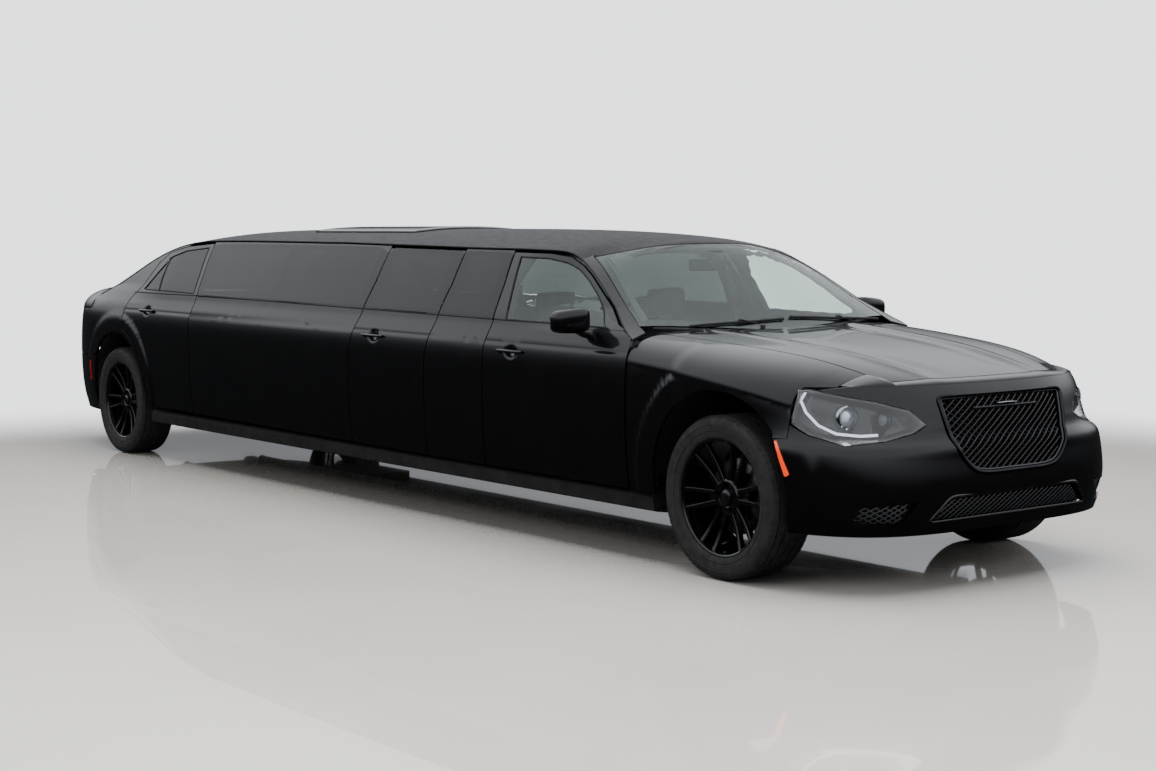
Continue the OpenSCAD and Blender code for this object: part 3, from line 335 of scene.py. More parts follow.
def fold(u, v, d, centre, low, power, edge):
    """Flank up to the shoulder at v = 0, then over it to the edge at v = 1000."""
    s = curve(low, u - (FX if low is SHOULDER_FRONT else RX))
    w = side_y(u, s)
    c = curve(centre, u - (FX if low is SHOULDER_FRONT else RX))
    e = np.arccos(np.minimum((edge + GAP) / w, .995) ** (power / 2))
    a = e * unit(v / 1000)
    z_flank = s + np.minimum(v, 0)
    y = np.where(v < 0, side_y(u, z_flank) + flare(u, z_flank) - d, w * np.cos(a) ** (2 / power) + flare(u,
            s) * (1 - unit(v / 300)) - d * (1 - unit(v / 1000)))
    z = np.where(v < 0, z_flank, s + (c - s) * np.sin(a) - d * unit(v / 1000))
    return np.stack([u, y, z], 1)


def on_fender(u, v, d):
    return fold(u, v, d, HOOD_CENTRE, SHOULDER_FRONT, shoulder_power(u), hood_edge(u))


def on_quarter(u, v, d):
    return fold(u, v, d, BOOT_CENTRE, SHOULDER_REAR, 6 + 0 * u, BOOT_EDGE + 0 * u)


# ---------------------------------------------------------------- making pieces
def fresh(name, bm, body, material, replaces=(), smooth=True, sharp=50):
    """Finishes a mesh: smooth with sharp corners, material and body."""
    if not bm.faces:
        raise ValueError(name + " has no faces")
    for face in bm.faces:
        face.smooth = smooth
    limit = math.radians(sharp)
    for edge in bm.edges:
        if len(edge.link_faces) == 2 and edge.calc_face_angle(0) > limit:
            edge.smooth = False
    mesh = bpy.data.meshes.new(name)
    bm.to_mesh(mesh)
    bm.free()
    piece = bpy.data.objects.new(name, mesh)
    bpy.context.collection.objects.link(piece)
    materials = material if isinstance(material, (list, tuple)) else [material]
    for one in materials:
        mesh.materials.append(one)
    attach(piece, body)
    if replaces:
        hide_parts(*replaces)
    return piece


def sheet(outline, holes, step, extra_u=(), extra_v=()):
    """Flat face with holes in it, cut by a grid of lines so that it can follow a curved surface."""
    bm = bmesh.new()
    for loop in [outline] + list(holes):
        ring = [bm.verts.new((p[0], p[1], 0)) for p in loop]
        for i, vert in enumerate(ring):
            bm.edges.new((vert, ring[(i + 1) % len(ring)]))
    bmesh.ops.triangle_fill(bm, use_beauty=True, use_dissolve=False, edges=bm.edges)
    low = [min(p[k] for p in outline) for k in (0, 1)]
    high = [max(p[k] for p in outline) for k in (0, 1)]
    for axis, extra in ((0, extra_u), (1, extra_v)):
        size = step[axis] if isinstance(step, tuple) else step
        count = max(int(math.ceil((high[axis] - low[axis]) / size)), 1)
        lines = [low[axis] + (high[axis] - low[axis]) * (i + .137) / count for i in range(count)]
        lines += [line for line in extra if low[axis] < line < high[axis]]
        for line in sorted(lines):
            spot = [0, 0, 0]
            spot[axis] = line
            way = [0, 0, 0]
            way[axis] = 1
            geom = list(bm.verts) + list(bm.edges) + list(bm.faces)
            bmesh.ops.bisect_plane(bm, geom=geom, dist=1e-4 * size, plane_co=spot, plane_no=way)
    return bm


def place(bm, surface, depth, side):
    """Puts a slab's flat points on a surface. Its lower layer has z = 0 and its upper one z = 1."""
    flat = np.array([v.co for v in bm.verts], float)
    d = depth(flat[:, 0], flat[:, 1], flat[:, 2]) if callable(depth) else mix(depth[0], depth[1],
            flat[:, 2])
    point = surface(flat[:, 0], flat[:, 1], d)
    point[:, 1] *= side
    for vert, co in zip(bm.verts, point * MM):
        vert.co = co
    return flat


def slab(name, surface, outline, depth, body, material, holes=(), step=25, side=1, replaces=(),
         edge=1.6, extra_u=(), extra_v=(), lay=None, dents=()):
    """Curved panel: an outline laid on a surface, with thickness, rounded rims and exact surface normals."""
    bm = sheet(outline, holes, step, extra_u, extra_v)
    skin = list(bm.faces)
    grown = bmesh.ops.extrude_face_region(bm, geom=skin, use_keep_orig=True)
    for item in grown["geom"]:
        if isinstance(item, bmesh.types.BMVert):
            item.co.z = 1
    bm.faces.ensure_lookup_table()
    layer = bm.faces.layers.int.new("skin")
    for face in bm.faces:
        face[layer] = 1 if all(v.co.z < .5 for v in face.verts) else 0
    place(bm, surface, depth, side)
    bmesh.ops.recalc_face_normals(bm, faces=bm.faces)
    if edge:
        rims = [e for e in bm.edges if len(e.link_faces) == 2
                and e.link_faces[0][layer] + e.link_faces[1][layer] == 1]
        bmesh.ops.bevel(bm, geom=rims, offset=edge * MM, offset_type="OFFSET", segments=2, profile=.5,
                        affect="EDGES", material=-1, clamp_overlap=True)
    marks = []
    for face in bm.faces:
        spot = face.calc_center_median() / MM
        near = any(abs(spot.x - x) < r and abs(spot.z - z) < r for x, z, r in dents)
        marks.append(0 if near else face[layer])
    piece = fresh(name, bm, body, material, replaces)
    if lay is not False:
        smooth_skin(piece, marks, lay or surface, side)
    return piece


def surface_normals(points, surface, side):
    """Normals of a surface at points on it, from the surface's own slopes."""
    p = points / MM
    p[:, 1] *= side
    h = 1.5
    if surface in (on_hood, on_boot, on_cab):
        func = {on_hood: hood_z, on_boot: boot_z, on_cab: cab_z}[surface]
        du = (func(p[:, 0] + h, p[:, 1]) - func(p[:, 0] - h, p[:, 1])) / (2 * h)
        dv = (func(p[:, 0], p[:, 1] + h) - func(p[:, 0], p[:, 1] - h)) / (2 * h)
        n = np.stack([-du, -dv, 1 + 0 * du], 1)
    elif surface in (on_nose, on_tail):
        tail = surface is on_tail

        def field(q):
            b, r, power = ring_sizes(q[:, 2], tail)
            bulge = 0 if tail else flare(q[:, 0], q[:, 2])
            along = (RX + 100 - q[:, 0]) if tail else (q[:, 0] - FX + 150)
            return (np.maximum(along, 0) / r) ** power + (np.maximum(np.abs(q[:, 1]) - bulge,
                    0) / b) ** power
        n = np.stack([field(p + np.array(s)) - field(p - np.array(s)) for s in ((h, 0, 0), (0, h, 0),
                (0, 0, h))], 1)
    elif surface in (on_fender, on_quarter):
        front = surface is on_fender
        low, high = (SHOULDER_FRONT, HOOD_CENTRE) if front else (SHOULDER_REAR, BOOT_CENTRE)
        axle = FX if front else RX

        def field(q):
            s = curve(low, q[:, 0] - axle)
            c = curve(high, q[:, 0] - axle)
            power = shoulder_power(q[:, 0]) if front else 6
            wide = np.where(q[:, 2] < s, side_y(q[:, 0], q[:, 2]) + flare(q[:, 0], q[:, 2]),
                            side_y(q[:, 0], s) + flare(q[:, 0], s))
            return (np.abs(q[:, 1]) / wide) ** power + (np.maximum(q[:, 2] - s, 0) / (c - s)) ** 2
        n = np.stack([field(p + np.array(s)) - field(p - np.array(s)) for s in ((h, 0, 0), (0, h, 0),
                (0, 0, h))], 1)
    else:
        def wide(x, z):
            return side_y(x, z) + flare(x, z)
        du = (wide(p[:, 0] + h, p[:, 2]) - wide(p[:, 0] - h, p[:, 2])) / (2 * h)
        dv = (wide(p[:, 0], p[:, 2] + h) - wide(p[:, 0], p[:, 2] - h)) / (2 * h)
        n = np.stack([-du, 1 + 0 * du, -dv], 1)
    n = n / np.maximum(np.linalg.norm(n, axis=1), 1e-9)[:, None]
    n[:, 1] *= side
    return n


def smooth_skin(piece, marks, surface, side):
    """Gives the skin's corners the surface's exact normals, so neighbouring panels share one reflection."""
    mesh = piece.data
    count = len(mesh.loops)
    normals = np.zeros(count * 3, np.float32)
    mesh.corner_normals.foreach_get("vector", normals)
    normals = normals.reshape(-1, 3)
    verts = np.zeros(len(mesh.vertices) * 3, np.float32)
    mesh.vertices.foreach_get("co", verts)
    verts = verts.reshape(-1, 3).astype(float)
    loop_vert = np.zeros(count, np.int32)
    mesh.loops.foreach_get("vertex_index", loop_vert)
    exact = surface_normals(verts.copy(), surface, side)
    face_n = np.zeros(len(mesh.polygons) * 3, np.float32)
    mesh.polygons.foreach_get("normal", face_n)
    face_n = face_n.reshape(-1, 3)
    starts = np.zeros(len(mesh.polygons), np.int32)
    mesh.polygons.foreach_get("loop_start", starts)
    totals = np.zeros(len(mesh.polygons), np.int32)
    mesh.polygons.foreach_get("loop_total", totals)
    face_of = np.repeat(np.arange(len(totals)), totals)
    wanted = exact[loop_vert]
    alike = np.einsum("ij,ij->i", wanted, face_n[face_of]) > .93
    use = alike & (np.array(marks)[face_of] == 1)
    normals[use] = wanted[use]
    mesh.normals_split_custom_set([tuple(n) for n in normals])


def both(maker, names, **facts):
    """The same piece on the left and, mirrored, on the right."""
    return [maker(name=name, side=side, **facts) for name, side in zip(names, (1, -1))]


def soft_corners(points, radius, count=4):
    """Outline with its corners rounded."""
    out = []
    n = len(points)
    for i in range(n):
        a = Vector(points[i - 1])
        b = Vector(points[i])
        c = Vector(points[(i + 1) % n])
        back = min(radius, (a - b).length * .45)
        on = min(radius, (c - b).length * .45)
        p = b + (a - b).normalized() * back
        q = b + (c - b).normalized() * on
        for k in range(count + 1):
            t = k / count
            out.append(tuple(p * (1 - t) ** 2 + b * 2 * t * (1 - t) + q * t * t))
    return out


def soft_ring_corners(points, radius, count):
    """Rounded outline on the nose or tail, where the first coordinate is a share of the way round."""
    flat = soft_corners([(s * RING_MM, z) for s, z in points], radius, count)
    return [(s / RING_MM, z) for s, z in flat]


def inset(points, distance):
    """Outline moved inwards by a distance; it runs either way round."""
    area = sum(a[0] * b[1] - b[0] * a[1] for a, b in zip(points, points[1:] + points[:1]))
    turn = 1 if area > 0 else -1
    out = []
    n = len(points)
    for i in range(n):
        a = Vector(points[i - 1])
        b = Vector(points[i])
        c = Vector(points[(i + 1) % n])
        first = (b - a).normalized()
        second = (c - b).normalized()
        n1 = Vector((-first.y, first.x)) * turn
        n2 = Vector((-second.y, second.x)) * turn
        both_ways = n1 + n2
        scale = distance * 2 / max(both_ways.length_squared, .35)
        out.append(tuple(b + both_ways * scale))
    return out


def pts(axle, rows):
    """Outline points given from an axle, with heights above the cowl as a share of the cabin or in mm."""
    return [(axle + x, COWL + CABIN * z if abs(z) < 1.2 else z) for x, z in rows]


# ---------------------------------------------------------------- materials
def colour(code):
    """sRGB hex to linear RGBA."""
    parts = [int(code[i:i + 2], 16) / 255 for i in (1, 3, 5)]
    return tuple(c / 12.92 if c <= .04045 else ((c + .055) / 1.055) ** 2.4 for c in parts) + (1,)


def node(tree, kind, settings=None, links=None, **values):
    """Adds one node: settings are its properties, values its sockets by name, links its linked sockets."""
    made = tree.nodes.new(kind)
    for key, value in (settings or {}).items():
        setattr(made, key, value)
    for key, value in values.items():
        made.inputs[key.replace("_", " ")].default_value = value
    for key, source in (links or {}).items():
        tree.links.new(source, made.inputs[key])
    return made


def finish_material(name, base, rough, metal=0.0, ior=1.5, grain=(), tint=None, rough_span=None, coat=0.0,
                    coat_rough=.03, transmit=0.0, sheen=0.0, glow=None, aniso=0.0, specular=.5):
    """Principled material. grain is a list of (kind, size in mm, height in mm) for its relief."""
    mat = bpy.data.materials.new(name)
    mat.use_nodes = True
    tree = mat.node_tree
    tree.nodes.clear()
    place_node = node(tree, "ShaderNodeTexCoord")
    where = place_node.outputs["Object"]
    links = {}
    fixed = {"Base Color": colour(base), "Roughness": rough, "Metallic": metal, "IOR": ior,
             "Coat Weight": coat, "Coat Roughness": coat_rough, "Transmission Weight": transmit,
             "Sheen Weight": sheen, "Anisotropic": aniso, "Specular IOR Level": specular}
    if tint:
        other, size, amount = tint
        noise = node(tree, "ShaderNodeTexNoise", links={"Vector": where}, Scale=1 / (size * MM), Detail=4)
        ramp = node(tree, "ShaderNodeMapRange", links={"Value": noise.outputs["Fac"]}, From_Min=.35,
                    From_Max=.65, To_Min=0, To_Max=amount)
        blend = node(tree, "ShaderNodeMix", {"data_type": "RGBA"}, {"Factor": ramp.outputs["Result"]})
        blend.inputs[6].default_value = colour(base)
        blend.inputs[7].default_value = colour(other)
        links["Base Color"] = blend.outputs[2]
    if rough_span:
        size, low, high = rough_span
        noise = node(tree, "ShaderNodeTexNoise", links={"Vector": where}, Scale=1 / (size * MM), Detail=3)
        ramp = node(tree, "ShaderNodeMapRange", links={"Value": noise.outputs["Fac"]}, From_Min=.3,
                    From_Max=.7, To_Min=low, To_Max=high)
        links["Roughness"] = ramp.outputs["Result"]
    normal = None
    for kind, size, height in grain:
        scale = 1 / (size * MM)
        if kind == "noise":
            made = node(tree, "ShaderNodeTexNoise", links={"Vector": where}, Scale=scale, Detail=3)
            value = made.outputs["Fac"]
        elif kind == "cells":
            made = node(tree, "ShaderNodeTexVoronoi", {"feature": "DISTANCE_TO_EDGE"}, {"Vector": where},
                        Scale=scale)
            value = made.outputs["Distance"]
        else:
            made = node(tree, "ShaderNodeTexWave", {"bands_direction": kind}, {"Vector": where},
                        Scale=scale / 3, Distortion=.4)
            value = made.outputs["Fac"]
        bump_links = {"Height": value}
        if normal:
            bump_links["Normal"] = normal
        bump = node(tree, "ShaderNodeBump", links=bump_links, Strength=1, Distance=height * MM)
        normal = bump.outputs["Normal"]
    if normal:
        links["Normal"] = normal
    shader = node(tree, "ShaderNodeBsdfPrincipled", links=links)
    for key, value in fixed.items():
        if key not in links:
            shader.inputs[key].default_value = value
    if glow:
        shader.inputs["Emission Color"].default_value = colour(glow[0])
        shader.inputs["Emission Strength"].default_value = glow[1]
    out = node(tree, "ShaderNodeOutputMaterial", links={"Surface": shader.outputs["BSDF"]})
    out.name = "out"
    return mat


# Black enamel under clear coat: deep and mirror-like, with a trace of orange peel
PAINT = finish_material("black_enamel_clear_coat", "#030304", .3, coat=1, coat_rough=.012,
                        tint=("#060607", 90, .6), grain=[("noise", 9, .006)], specular=.12)
# Charcoal roof covering: satin, fine pebbled grain that scatters the ceiling's light
ROOF = finish_material("charcoal_satin_roof_covering", "#111113", .5, tint=("#18181a", 60, .8),
                       rough_span=(40, .46, .56), grain=[("noise", 2.2, .03)], specular=.3)
# Moulded black acrylic trim: glossy and plain
GLOSS_TRIM = finish_material("gloss_black_acrylic_trim", "#08080a", .1, coat=.6, tint=("#101012", 50, .5),
        grain=[("noise", 7, .01)])
# Moulded black ABS: fine spark-eroded grain
PLASTIC = finish_material("grained_black_abs", "#141415", .55, tint=("#1e1e20", 25, .7),
                          grain=[("noise", 1.6, .06)])
# Rubber seal: dull and slightly uneven
SEAL = finish_material("extruded_black_rubber_seal", "#0a0a0a", .72, ior=1.52, tint=("#131313", 18, .8),
                       grain=[("noise", 2.5, .05)])
# Tinted laminated glass of the windscreen and front doors: light green
CLEAR_GLASS = finish_material("green_tinted_float_glass", "#d3e0da", 0, ior=1.52, transmit=1,
        tint=("#cddcd6", 300, .5))
# Privacy glass: dark, but the cabin's shapes still show faintly
DARK_GLASS = finish_material("dark_privacy_glass", "#3a4141", .01, ior=1.52, transmit=1,
        tint=("#343b3b", 300, .5))
# Ceramic frit baked onto the glass edge: dead black, slightly rough
FRIT = finish_material("black_ceramic_frit", "#050505", .35, tint=("#0b0b0b", 20, .6))
# Tyre rubber: carbon black, dry and matt, with moulding dust in the grain
RUBBER = finish_material("carbon_black_tyre_rubber", "#141414", .8, ior=1.52, tint=("#1f1e1d", 35, .9),
                         rough_span=(25, .68, .9), grain=[("noise", 3, .12), ("noise", .9, .05)])
# Cast aluminium wheel in gloss black powder coat and lacquer
WHEEL = finish_material("gloss_black_lacquered_alloy", "#09090b", .18, metal=.55, coat=1, coat_rough=.03,
                        tint=("#131316", 40, .6), grain=[("noise", 6, .015)])
# Turned cast iron brake disc: bright grey metal with uneven darker streaks
DISC = finish_material("turned_grey_iron", "#6d6b68", .34, metal=1, tint=("#4c4a48", 14, .8),
                       rough_span=(6, .25, .45), grain=[("noise", 1.2, .02)])
# Dark chrome surround: polished, smoked plating
DARK_CHROME = finish_material("smoked_chrome_plate", "#3c3c40", .09, metal=1, tint=("#2c2c30", 60, .6))
# Bright chrome plate on small trim and reflectors
CHROME = finish_material("bright_chrome_plate", "#cfd1d4", .05, metal=1, tint=("#bcbfc2", 40, .4))
# Clear moulded polycarbonate lamp lens
LENS = finish_material("clear_polycarbonate_lens", "#f4f6f7", .0, ior=1.58, transmit=1,
                       tint=("#eef1f2", 200, .5))
# Lamp light guide: milky acrylic that glows faintly
GUIDE = finish_material("frosted_acrylic_light_guide", "#f2f4f6", .35, glow=("#eef3ff", 1.4),
                        tint=("#e4e8ec", 15, .6))
# Projector lens: thick clear glass with a cool cast
BALL = finish_material("thick_projector_glass", "#dfe8f5", .02, ior=1.52, transmit=.55, coat=1,
                       tint=("#cfdcf0", 30, .6))
# Amber and red moulded reflectors with prism relief. The amber one's faint glow is painted light, as a
# reflector is no lamp
AMBER = finish_material("amber_prism_reflector_painted_glow", "#e0400c", .22, coat=1, tint=("#c9320a", 8, .7),
                        grain=[("cells", 4, .4)], glow=("#d8380a", .35))
# Its faint red glow is lamp light on the tail lenses and painted light on the rear reflectors that share it
RED = finish_material("red_prism_lens", "#7d0a0e", .16, coat=1, tint=("#5d070a", 10, .7),
                      grain=[("cells", 5, .4)], glow=("#8a0c10", .15))
# Grey grained leather: soft sheen, pebbled skin and faint creases
LEATHER = finish_material("grey_grained_leather", "#4c4e51", .5, tint=("#3e4043", 70, .8), sheen=.15,
                          rough_span=(30, .42, .58), grain=[("cells", 2.6, .25), ("noise", 45, .8)])
# Dashboard skin: dark slush-moulded vinyl with leather grain
DASH = finish_material("slush_moulded_vinyl", "#1b1c1e", .58, tint=("#252628", 40, .7),
                       grain=[("cells", 2.2, .18)])
# Pale knitted pillar and headliner cloth
LINING = finish_material("pale_knitted_headlining", "#8f9194", .9, tint=("#7f8184", 30, .7), sheen=.2,
                         grain=[("noise", 1.8, .2)])
# Loop carpet: dark, deep and uneven
CARPET = finish_material("dark_loop_carpet", "#1a1b1d", .95, tint=("#2a2b2e", 6, .9), sheen=.3,
                         grain=[("noise", 4, 1.2)])
# Polished dark veneer of the bar: long figure under lacquer
WOOD = finish_material("lacquered_dark_walnut", "#3a2013", .3, coat=.8, tint=("#1f0f08", 28, .95),
                       grain=[("X", 6, .04)])
# Painted underbody steel: sprayed, dull and slightly dusty
STEEL = finish_material("sprayed_underbody_coating", "#0c0c0d", .62, metal=0, tint=("#171715", 80, .8),
                        rough_span=(60, .6, .85), grain=[("noise", 5, .25)])
# Raw casting: grey, coarse sand-cast skin
IRON = finish_material("sand_cast_aluminium", "#6f7072", .55, metal=.85, tint=("#4e4f51", 30, .8),
                       grain=[("noise", 3, .3)])
# Exhaust tube: heat-stained stainless steel
EXHAUST = finish_material("heat_stained_stainless", "#8b8780", .28, metal=1, tint=("#6b5c48", 160, .8),
                          rough_span=(20, .2, .42), grain=[("noise", 9, .05)])
# Mirror glass
MIRROR = finish_material("silvered_mirror_glass", "#e6e8ea", .01, metal=1, tint=("#dcdfe2", 90, .5))
# Trim cloth of the partition
CLOTH = finish_material("charcoal_woven_trim_cloth", "#232427", .85, tint=("#2e2f33", 3, .8), sheen=.25,
                        grain=[("X", 1.6, .15), ("Y", 1.6, .15)])
# Blank number plate: white powder-coated aluminium
PLATE = finish_material("white_coated_plate", "#d9dadb", .4, tint=("#cfd0d2", 50, .6),
                        grain=[("noise", 5, .03)])


# ---------------------------------------------------------------- studio
def make_floor():
    """Round polished floor whose rim fades into the background."""
    mat = finish_material("polished_pale_resin_floor", "#cdc8c1", .1, ior=1.5, tint=("#c6c1ba", 900, .6),
                          rough_span=(700, .06, .1), coat=1, coat_rough=.01)
    tree = mat.node_tree
    shader = [n for n in tree.nodes if n.bl_idname == "ShaderNodeBsdfPrincipled"][0]
    place_node = [n for n in tree.nodes if n.bl_idname == "ShaderNodeTexCoord"][0]
    middle_at = node(tree, "ShaderNodeMapping", links={"Vector": place_node.outputs["Object"]},
                     Location=(-FLOOR_MIDDLE[0], -FLOOR_MIDDLE[1], 0))
    far = node(tree, "ShaderNodeVectorMath", {"operation": "LENGTH"},
               {"Vector": middle_at.outputs["Vector"]})
    fade = node(tree, "ShaderNodeMapRange", {"interpolation_type": "SMOOTHSTEP"},
                {"Value": far.outputs["Value"]}, From_Min=FLOOR_R * .66, From_Max=FLOOR_R * .99, To_Min=0,
                To_Max=1)
    clear = node(tree, "ShaderNodeBsdfTransparent")
    blend = node(tree, "ShaderNodeMixShader", links={"Fac": fade.outputs["Result"]})
    tree.links.new(shader.outputs["BSDF"], blend.inputs[1])
    tree.links.new(clear.outputs["BSDF"], blend.inputs[2])
    tree.links.new(blend.outputs["Shader"], tree.nodes["out"].inputs["Surface"])
    bm = bmesh.new()
    bmesh.ops.create_circle(bm, cap_ends=True, segments=96, radius=FLOOR_R)
    bmesh.ops.translate(bm, verts=bm.verts, vec=FLOOR_MIDDLE)
    mesh = bpy.data.meshes.new("studio_floor")
    bm.to_mesh(mesh)
    bm.free()
    mesh.materials.append(mat)
    made = bpy.data.objects.new("studio_floor", mesh)
    bpy.context.collection.objects.link(made)
    made.visible_glossy = False


def softbox(name, size, spot, aim, power, seen=True):
    data = bpy.data.lights.new(name, "AREA")
    data.shape = "RECTANGLE"
    data.size = size[0]
    data.size_y = size[1]
    data.energy = power
    made = bpy.data.objects.new(name, data)
    made.location = spot
    way = Vector(aim) - Vector(spot)
    made.rotation_euler = way.to_track_quat("-Z", "Y").to_euler()
    made.visible_glossy = seen
    made.visible_transmission = False
    bpy.context.collection.objects.link(made)
    return made


def make_room():
    """Bright studio wall all round, with a darker room for reflections."""
    world = bpy.data.worlds.new("studio")
    bpy.context.scene.world = world
    world.use_nodes = True
    tree = world.node_tree
    tree.nodes.clear()
    place_node = node(tree, "ShaderNodeTexCoord")
    split = node(tree, "ShaderNodeSeparateXYZ", links={"Vector": place_node.outputs["Generated"]})
    rise = node(tree, "ShaderNodeMapRange", {"interpolation_type": "SMOOTHSTEP"},
                {"Value": split.outputs["Z"]}, From_Min=.0, From_Max=.36, To_Min=0, To_Max=1)
    room = node(tree, "ShaderNodeMix", {"data_type": "RGBA"}, {"Factor": rise.outputs["Result"]})
    room.inputs[6].default_value = colour("#1c1d1e")
    room.inputs[7].default_value = colour("#b9bcc0")
    path = node(tree, "ShaderNodeLightPath")
    plain = node(tree, "ShaderNodeMath", {"operation": "ADD"})
    tree.links.new(path.outputs["Glossy Depth"], plain.inputs[0])
    tree.links.new(path.outputs["Diffuse Depth"], plain.inputs[1])
    straight = node(tree, "ShaderNodeMath", {"operation": "LESS_THAN"}, {0: plain.outputs["Value"]})
    straight.inputs[1].default_value = .5
    through = node(tree, "ShaderNodeMath", {"operation": "MULTIPLY"}, {0: straight.outputs["Value"]})
    tree.links.new(path.outputs["Is Transmission Ray"], through.inputs[1])
    seen = node(tree, "ShaderNodeMath", {"operation": "MAXIMUM"}, {0: through.outputs["Value"]})
    tree.links.new(path.outputs["Is Camera Ray"], seen.inputs[1])
    near = node(tree, "ShaderNodeBackground", links={"Color": room.outputs[2]}, Strength=2.0)
    wall = node(tree, "ShaderNodeBackground", Strength=2.7)
    wall.inputs["Color"].default_value = colour("#eceef1")
    both_ways = node(tree, "ShaderNodeMixShader", links={"Fac": seen.outputs["Value"]})
    tree.links.new(near.outputs["Background"], both_ways.inputs[1])
    tree.links.new(wall.outputs["Background"], both_ways.inputs[2])
    node(tree, "ShaderNodeOutputWorld", links={"Surface": both_ways.outputs["Shader"]})
    softbox("ceiling_bank", (15, 8), (0, 0, 8), (0, 0, 0), 3400, False)
    softbox("camera_side_bank", (9, 3), (3.0, -9.5, 5.5), (0, 0, .6), 500, False)
    softbox("nose_bank", (4, 3), (11, 2.5, 4.4), (3.4, 0, .7), 260, False)
    softbox("tail_bank", (4, 3), (-11, 3, 4.8), (-3, 0, .8), 260, False)
    softbox("far_side_bank", (9, 3), (-2.0, 9.5, 5.5), (0, 0, .6), 400, False)


FLOOR_R = 8.6
FLOOR_MIDDLE = (1.9, -1.45, 0)
make_floor()
make_room()


# ---------------------------------------------------------------- outlines of the side, as in the CAD
FRONT_DOOR = pts(FX, [(-610, DOOR_FOOT), (-610, 985), (-624, 1022), (-735, 1056), (-940, .32), (-1125, .54),
                      (-1225, .64), (-1332, .72), (-1480, .755), (-1784, .765), (-1744, .43), (-1728, 1050),
                      (-1745, 940), (-1745, DOOR_FOOT)])
FRONT_WINDOW = pts(FX, [(-840, 1050), (-925, .205), (-1035, .37), (-1140, .50), (-1240, .60), (-1345, .665),
                        (-1490, .705), (-1715, .717), (-1665, .40), (-1622, 1062)])
MID_DOOR = pts(FX, [(-2277, DOOR_FOOT), (-2277, 850), (-2258, 936), (-2228, 1060), (-2206, .43),
                    (-2223, .775), (-2966, .79), (-2953, .43), (-2979, 1060), (-3016, 946), (-3041, 854),
                    (-3041, 334)])
MID_WINDOW = pts(FX, [(-2330, 1070), (-2300, .43), (-2310, .725), (-2880, .735), (-2870, .43),
                      (-2892, 1078)])
REAR_LIP = ARCH_R + 40
ARC = [(REAR_LIP * math.cos(math.radians(a)), ARCH_Z + REAR_LIP * math.sin(math.radians(a)))
       for a in range(75, 0, -5)]
REAR_DOOR = pts(RX, [(1098, 348), (1094, 752), (1080, 940), (1092, 1090), (1055, .48), (1006, .822),
                     (664, .78), (446, .70), (345, .56), (218, .22), (140, 1070), (108, 985),
                     (112, 880)] + ARC + [(454, 410), (480, 348)])
REAR_WINDOW = pts(RX, [(1040, 1104), (1010, .43), (960, .765), (670, .72), (500, .64), (385, .42),
                       (272, 1115)])
SHORT_WINDOW = pts(FX, [(-1800, 1072), (-1822, .74), (-2160, .745), (-2150, .43), (-2172, 1074)])


def window_between(a, b, count, i):
    wide = (a - b - 50) / count
    x1 = a - 50 - wide * i
    x0 = x1 - wide + 50
    high = COWL + CABIN * .77
    return [(x1, 1082), (x1 - 10, high), (x0 + 10, high), (x0, 1086)]


LONG_END = RX + 1060
RIGHT_WINDOWS = [window_between(FX - 2985, LONG_END, 2, i) for i in range(2)]
LEFT_WINDOWS = [window_between(FX - 1800, LONG_END, 3, i) for i in range(3)]


def belt(x):
    """Height of the lower edge of the side glass."""
    return 1050 + 42 * unit((FX - 700 - x) / 4200)


def arch_points(axle, radius, start, stop, count):
    """Points of a wheel arch from one angle to another, in degrees from the front."""
    return [(axle + radius * math.cos(math.radians(a)), ARCH_Z + radius * math.sin(math.radians(a)))
            for a in [start + (stop - start) * k / count for k in range(count + 1)]]


def rail_points(a, b, drop, count=24):
    """The lower edge of the roof between two lengths, set down by a distance."""
    xs = [a + (b - a) * k / count for k in range(count + 1)]
    return [(x, float(rail_z(x)) - drop) for x in xs]


def dense(points, size):
    """Outline with points added so that no edge is longer than a size."""
    out = []
    for a, b in zip(points, points[1:] + points[:1]):
        count = max(int(math.hypot(b[0] - a[0], b[1] - a[1]) // size), 1)
        out += [(a[0] + (b[0] - a[0]) * k / count, a[1] + (b[1] - a[1]) * k / count) for k in range(count)]
    return out


# ---------------------------------------------------------------- body panels
def handle_dent(x0, z0):
    """Depth of the cup behind a door handle."""
    def dent(u, v):
        r = np.hypot((u - x0) / 66, (v - z0) / 40)
        return 17 * ease(1 - r)
    return dent


def skin_depth(thick, dents=()):
    """Depth of a door skin's two faces, with handle cups pressed into it."""
    def depth(u, v, w):
        cup = 0
        for dent in dents:
            cup = cup + dent(u, v)
        return cup + thick * w
    return depth


def trim_depth(outer, low_in, high_in):
    """Depth of an inner panel: thick under the glass and thin beside it."""
    def depth(u, v, w):
        return mix(outer, mix(low_in, high_in, unit((v - 960) / 90)), w)
    return depth


def fine_lines(centre, half, step):
    count = int(2 * half / step)
    return [centre - half + step * k for k in range(count + 1)]


def nose_x(y, z):
    b, r, p = ring_sizes(np.array([float(z)]), False)
    share = min(abs(y) / float(b[0]), .9999)
    return FX - 150 + float(r[0]) * (1 - share ** float(p[0])) ** (1 / float(p[0]))


def tail_x(y, z):
    b, r, p = ring_sizes(np.array([float(z)]), True)
    share = min(abs(y) / float(b[0]), .9999)
    return RX + 100 - float(r[0]) * (1 - share ** p) ** (1 / p)


def hood_front(y):
    return min(nose_x(y, 862) - 66, FX + 690)


def hood_outline():
    front = []
    for k in range(-16, 17):
        y = k / 16 * 545
        x = hood_front(y)
        limit = float(hood_edge(x)) - GAP
        front.append((x, max(-limit, min(limit, y))))
    left = [(x, float(hood_edge(x)) - GAP) for x in np.linspace(front[-1][0] - 30, FX - 620, 22)]
    rear = [(FX - 566 - 62 * (k / 12) ** 2, k / 12 * 722) for k in range(12, -13, -1)]
    right = [(x, -y) for x, y in reversed(left)]
    return front + left + rear + right


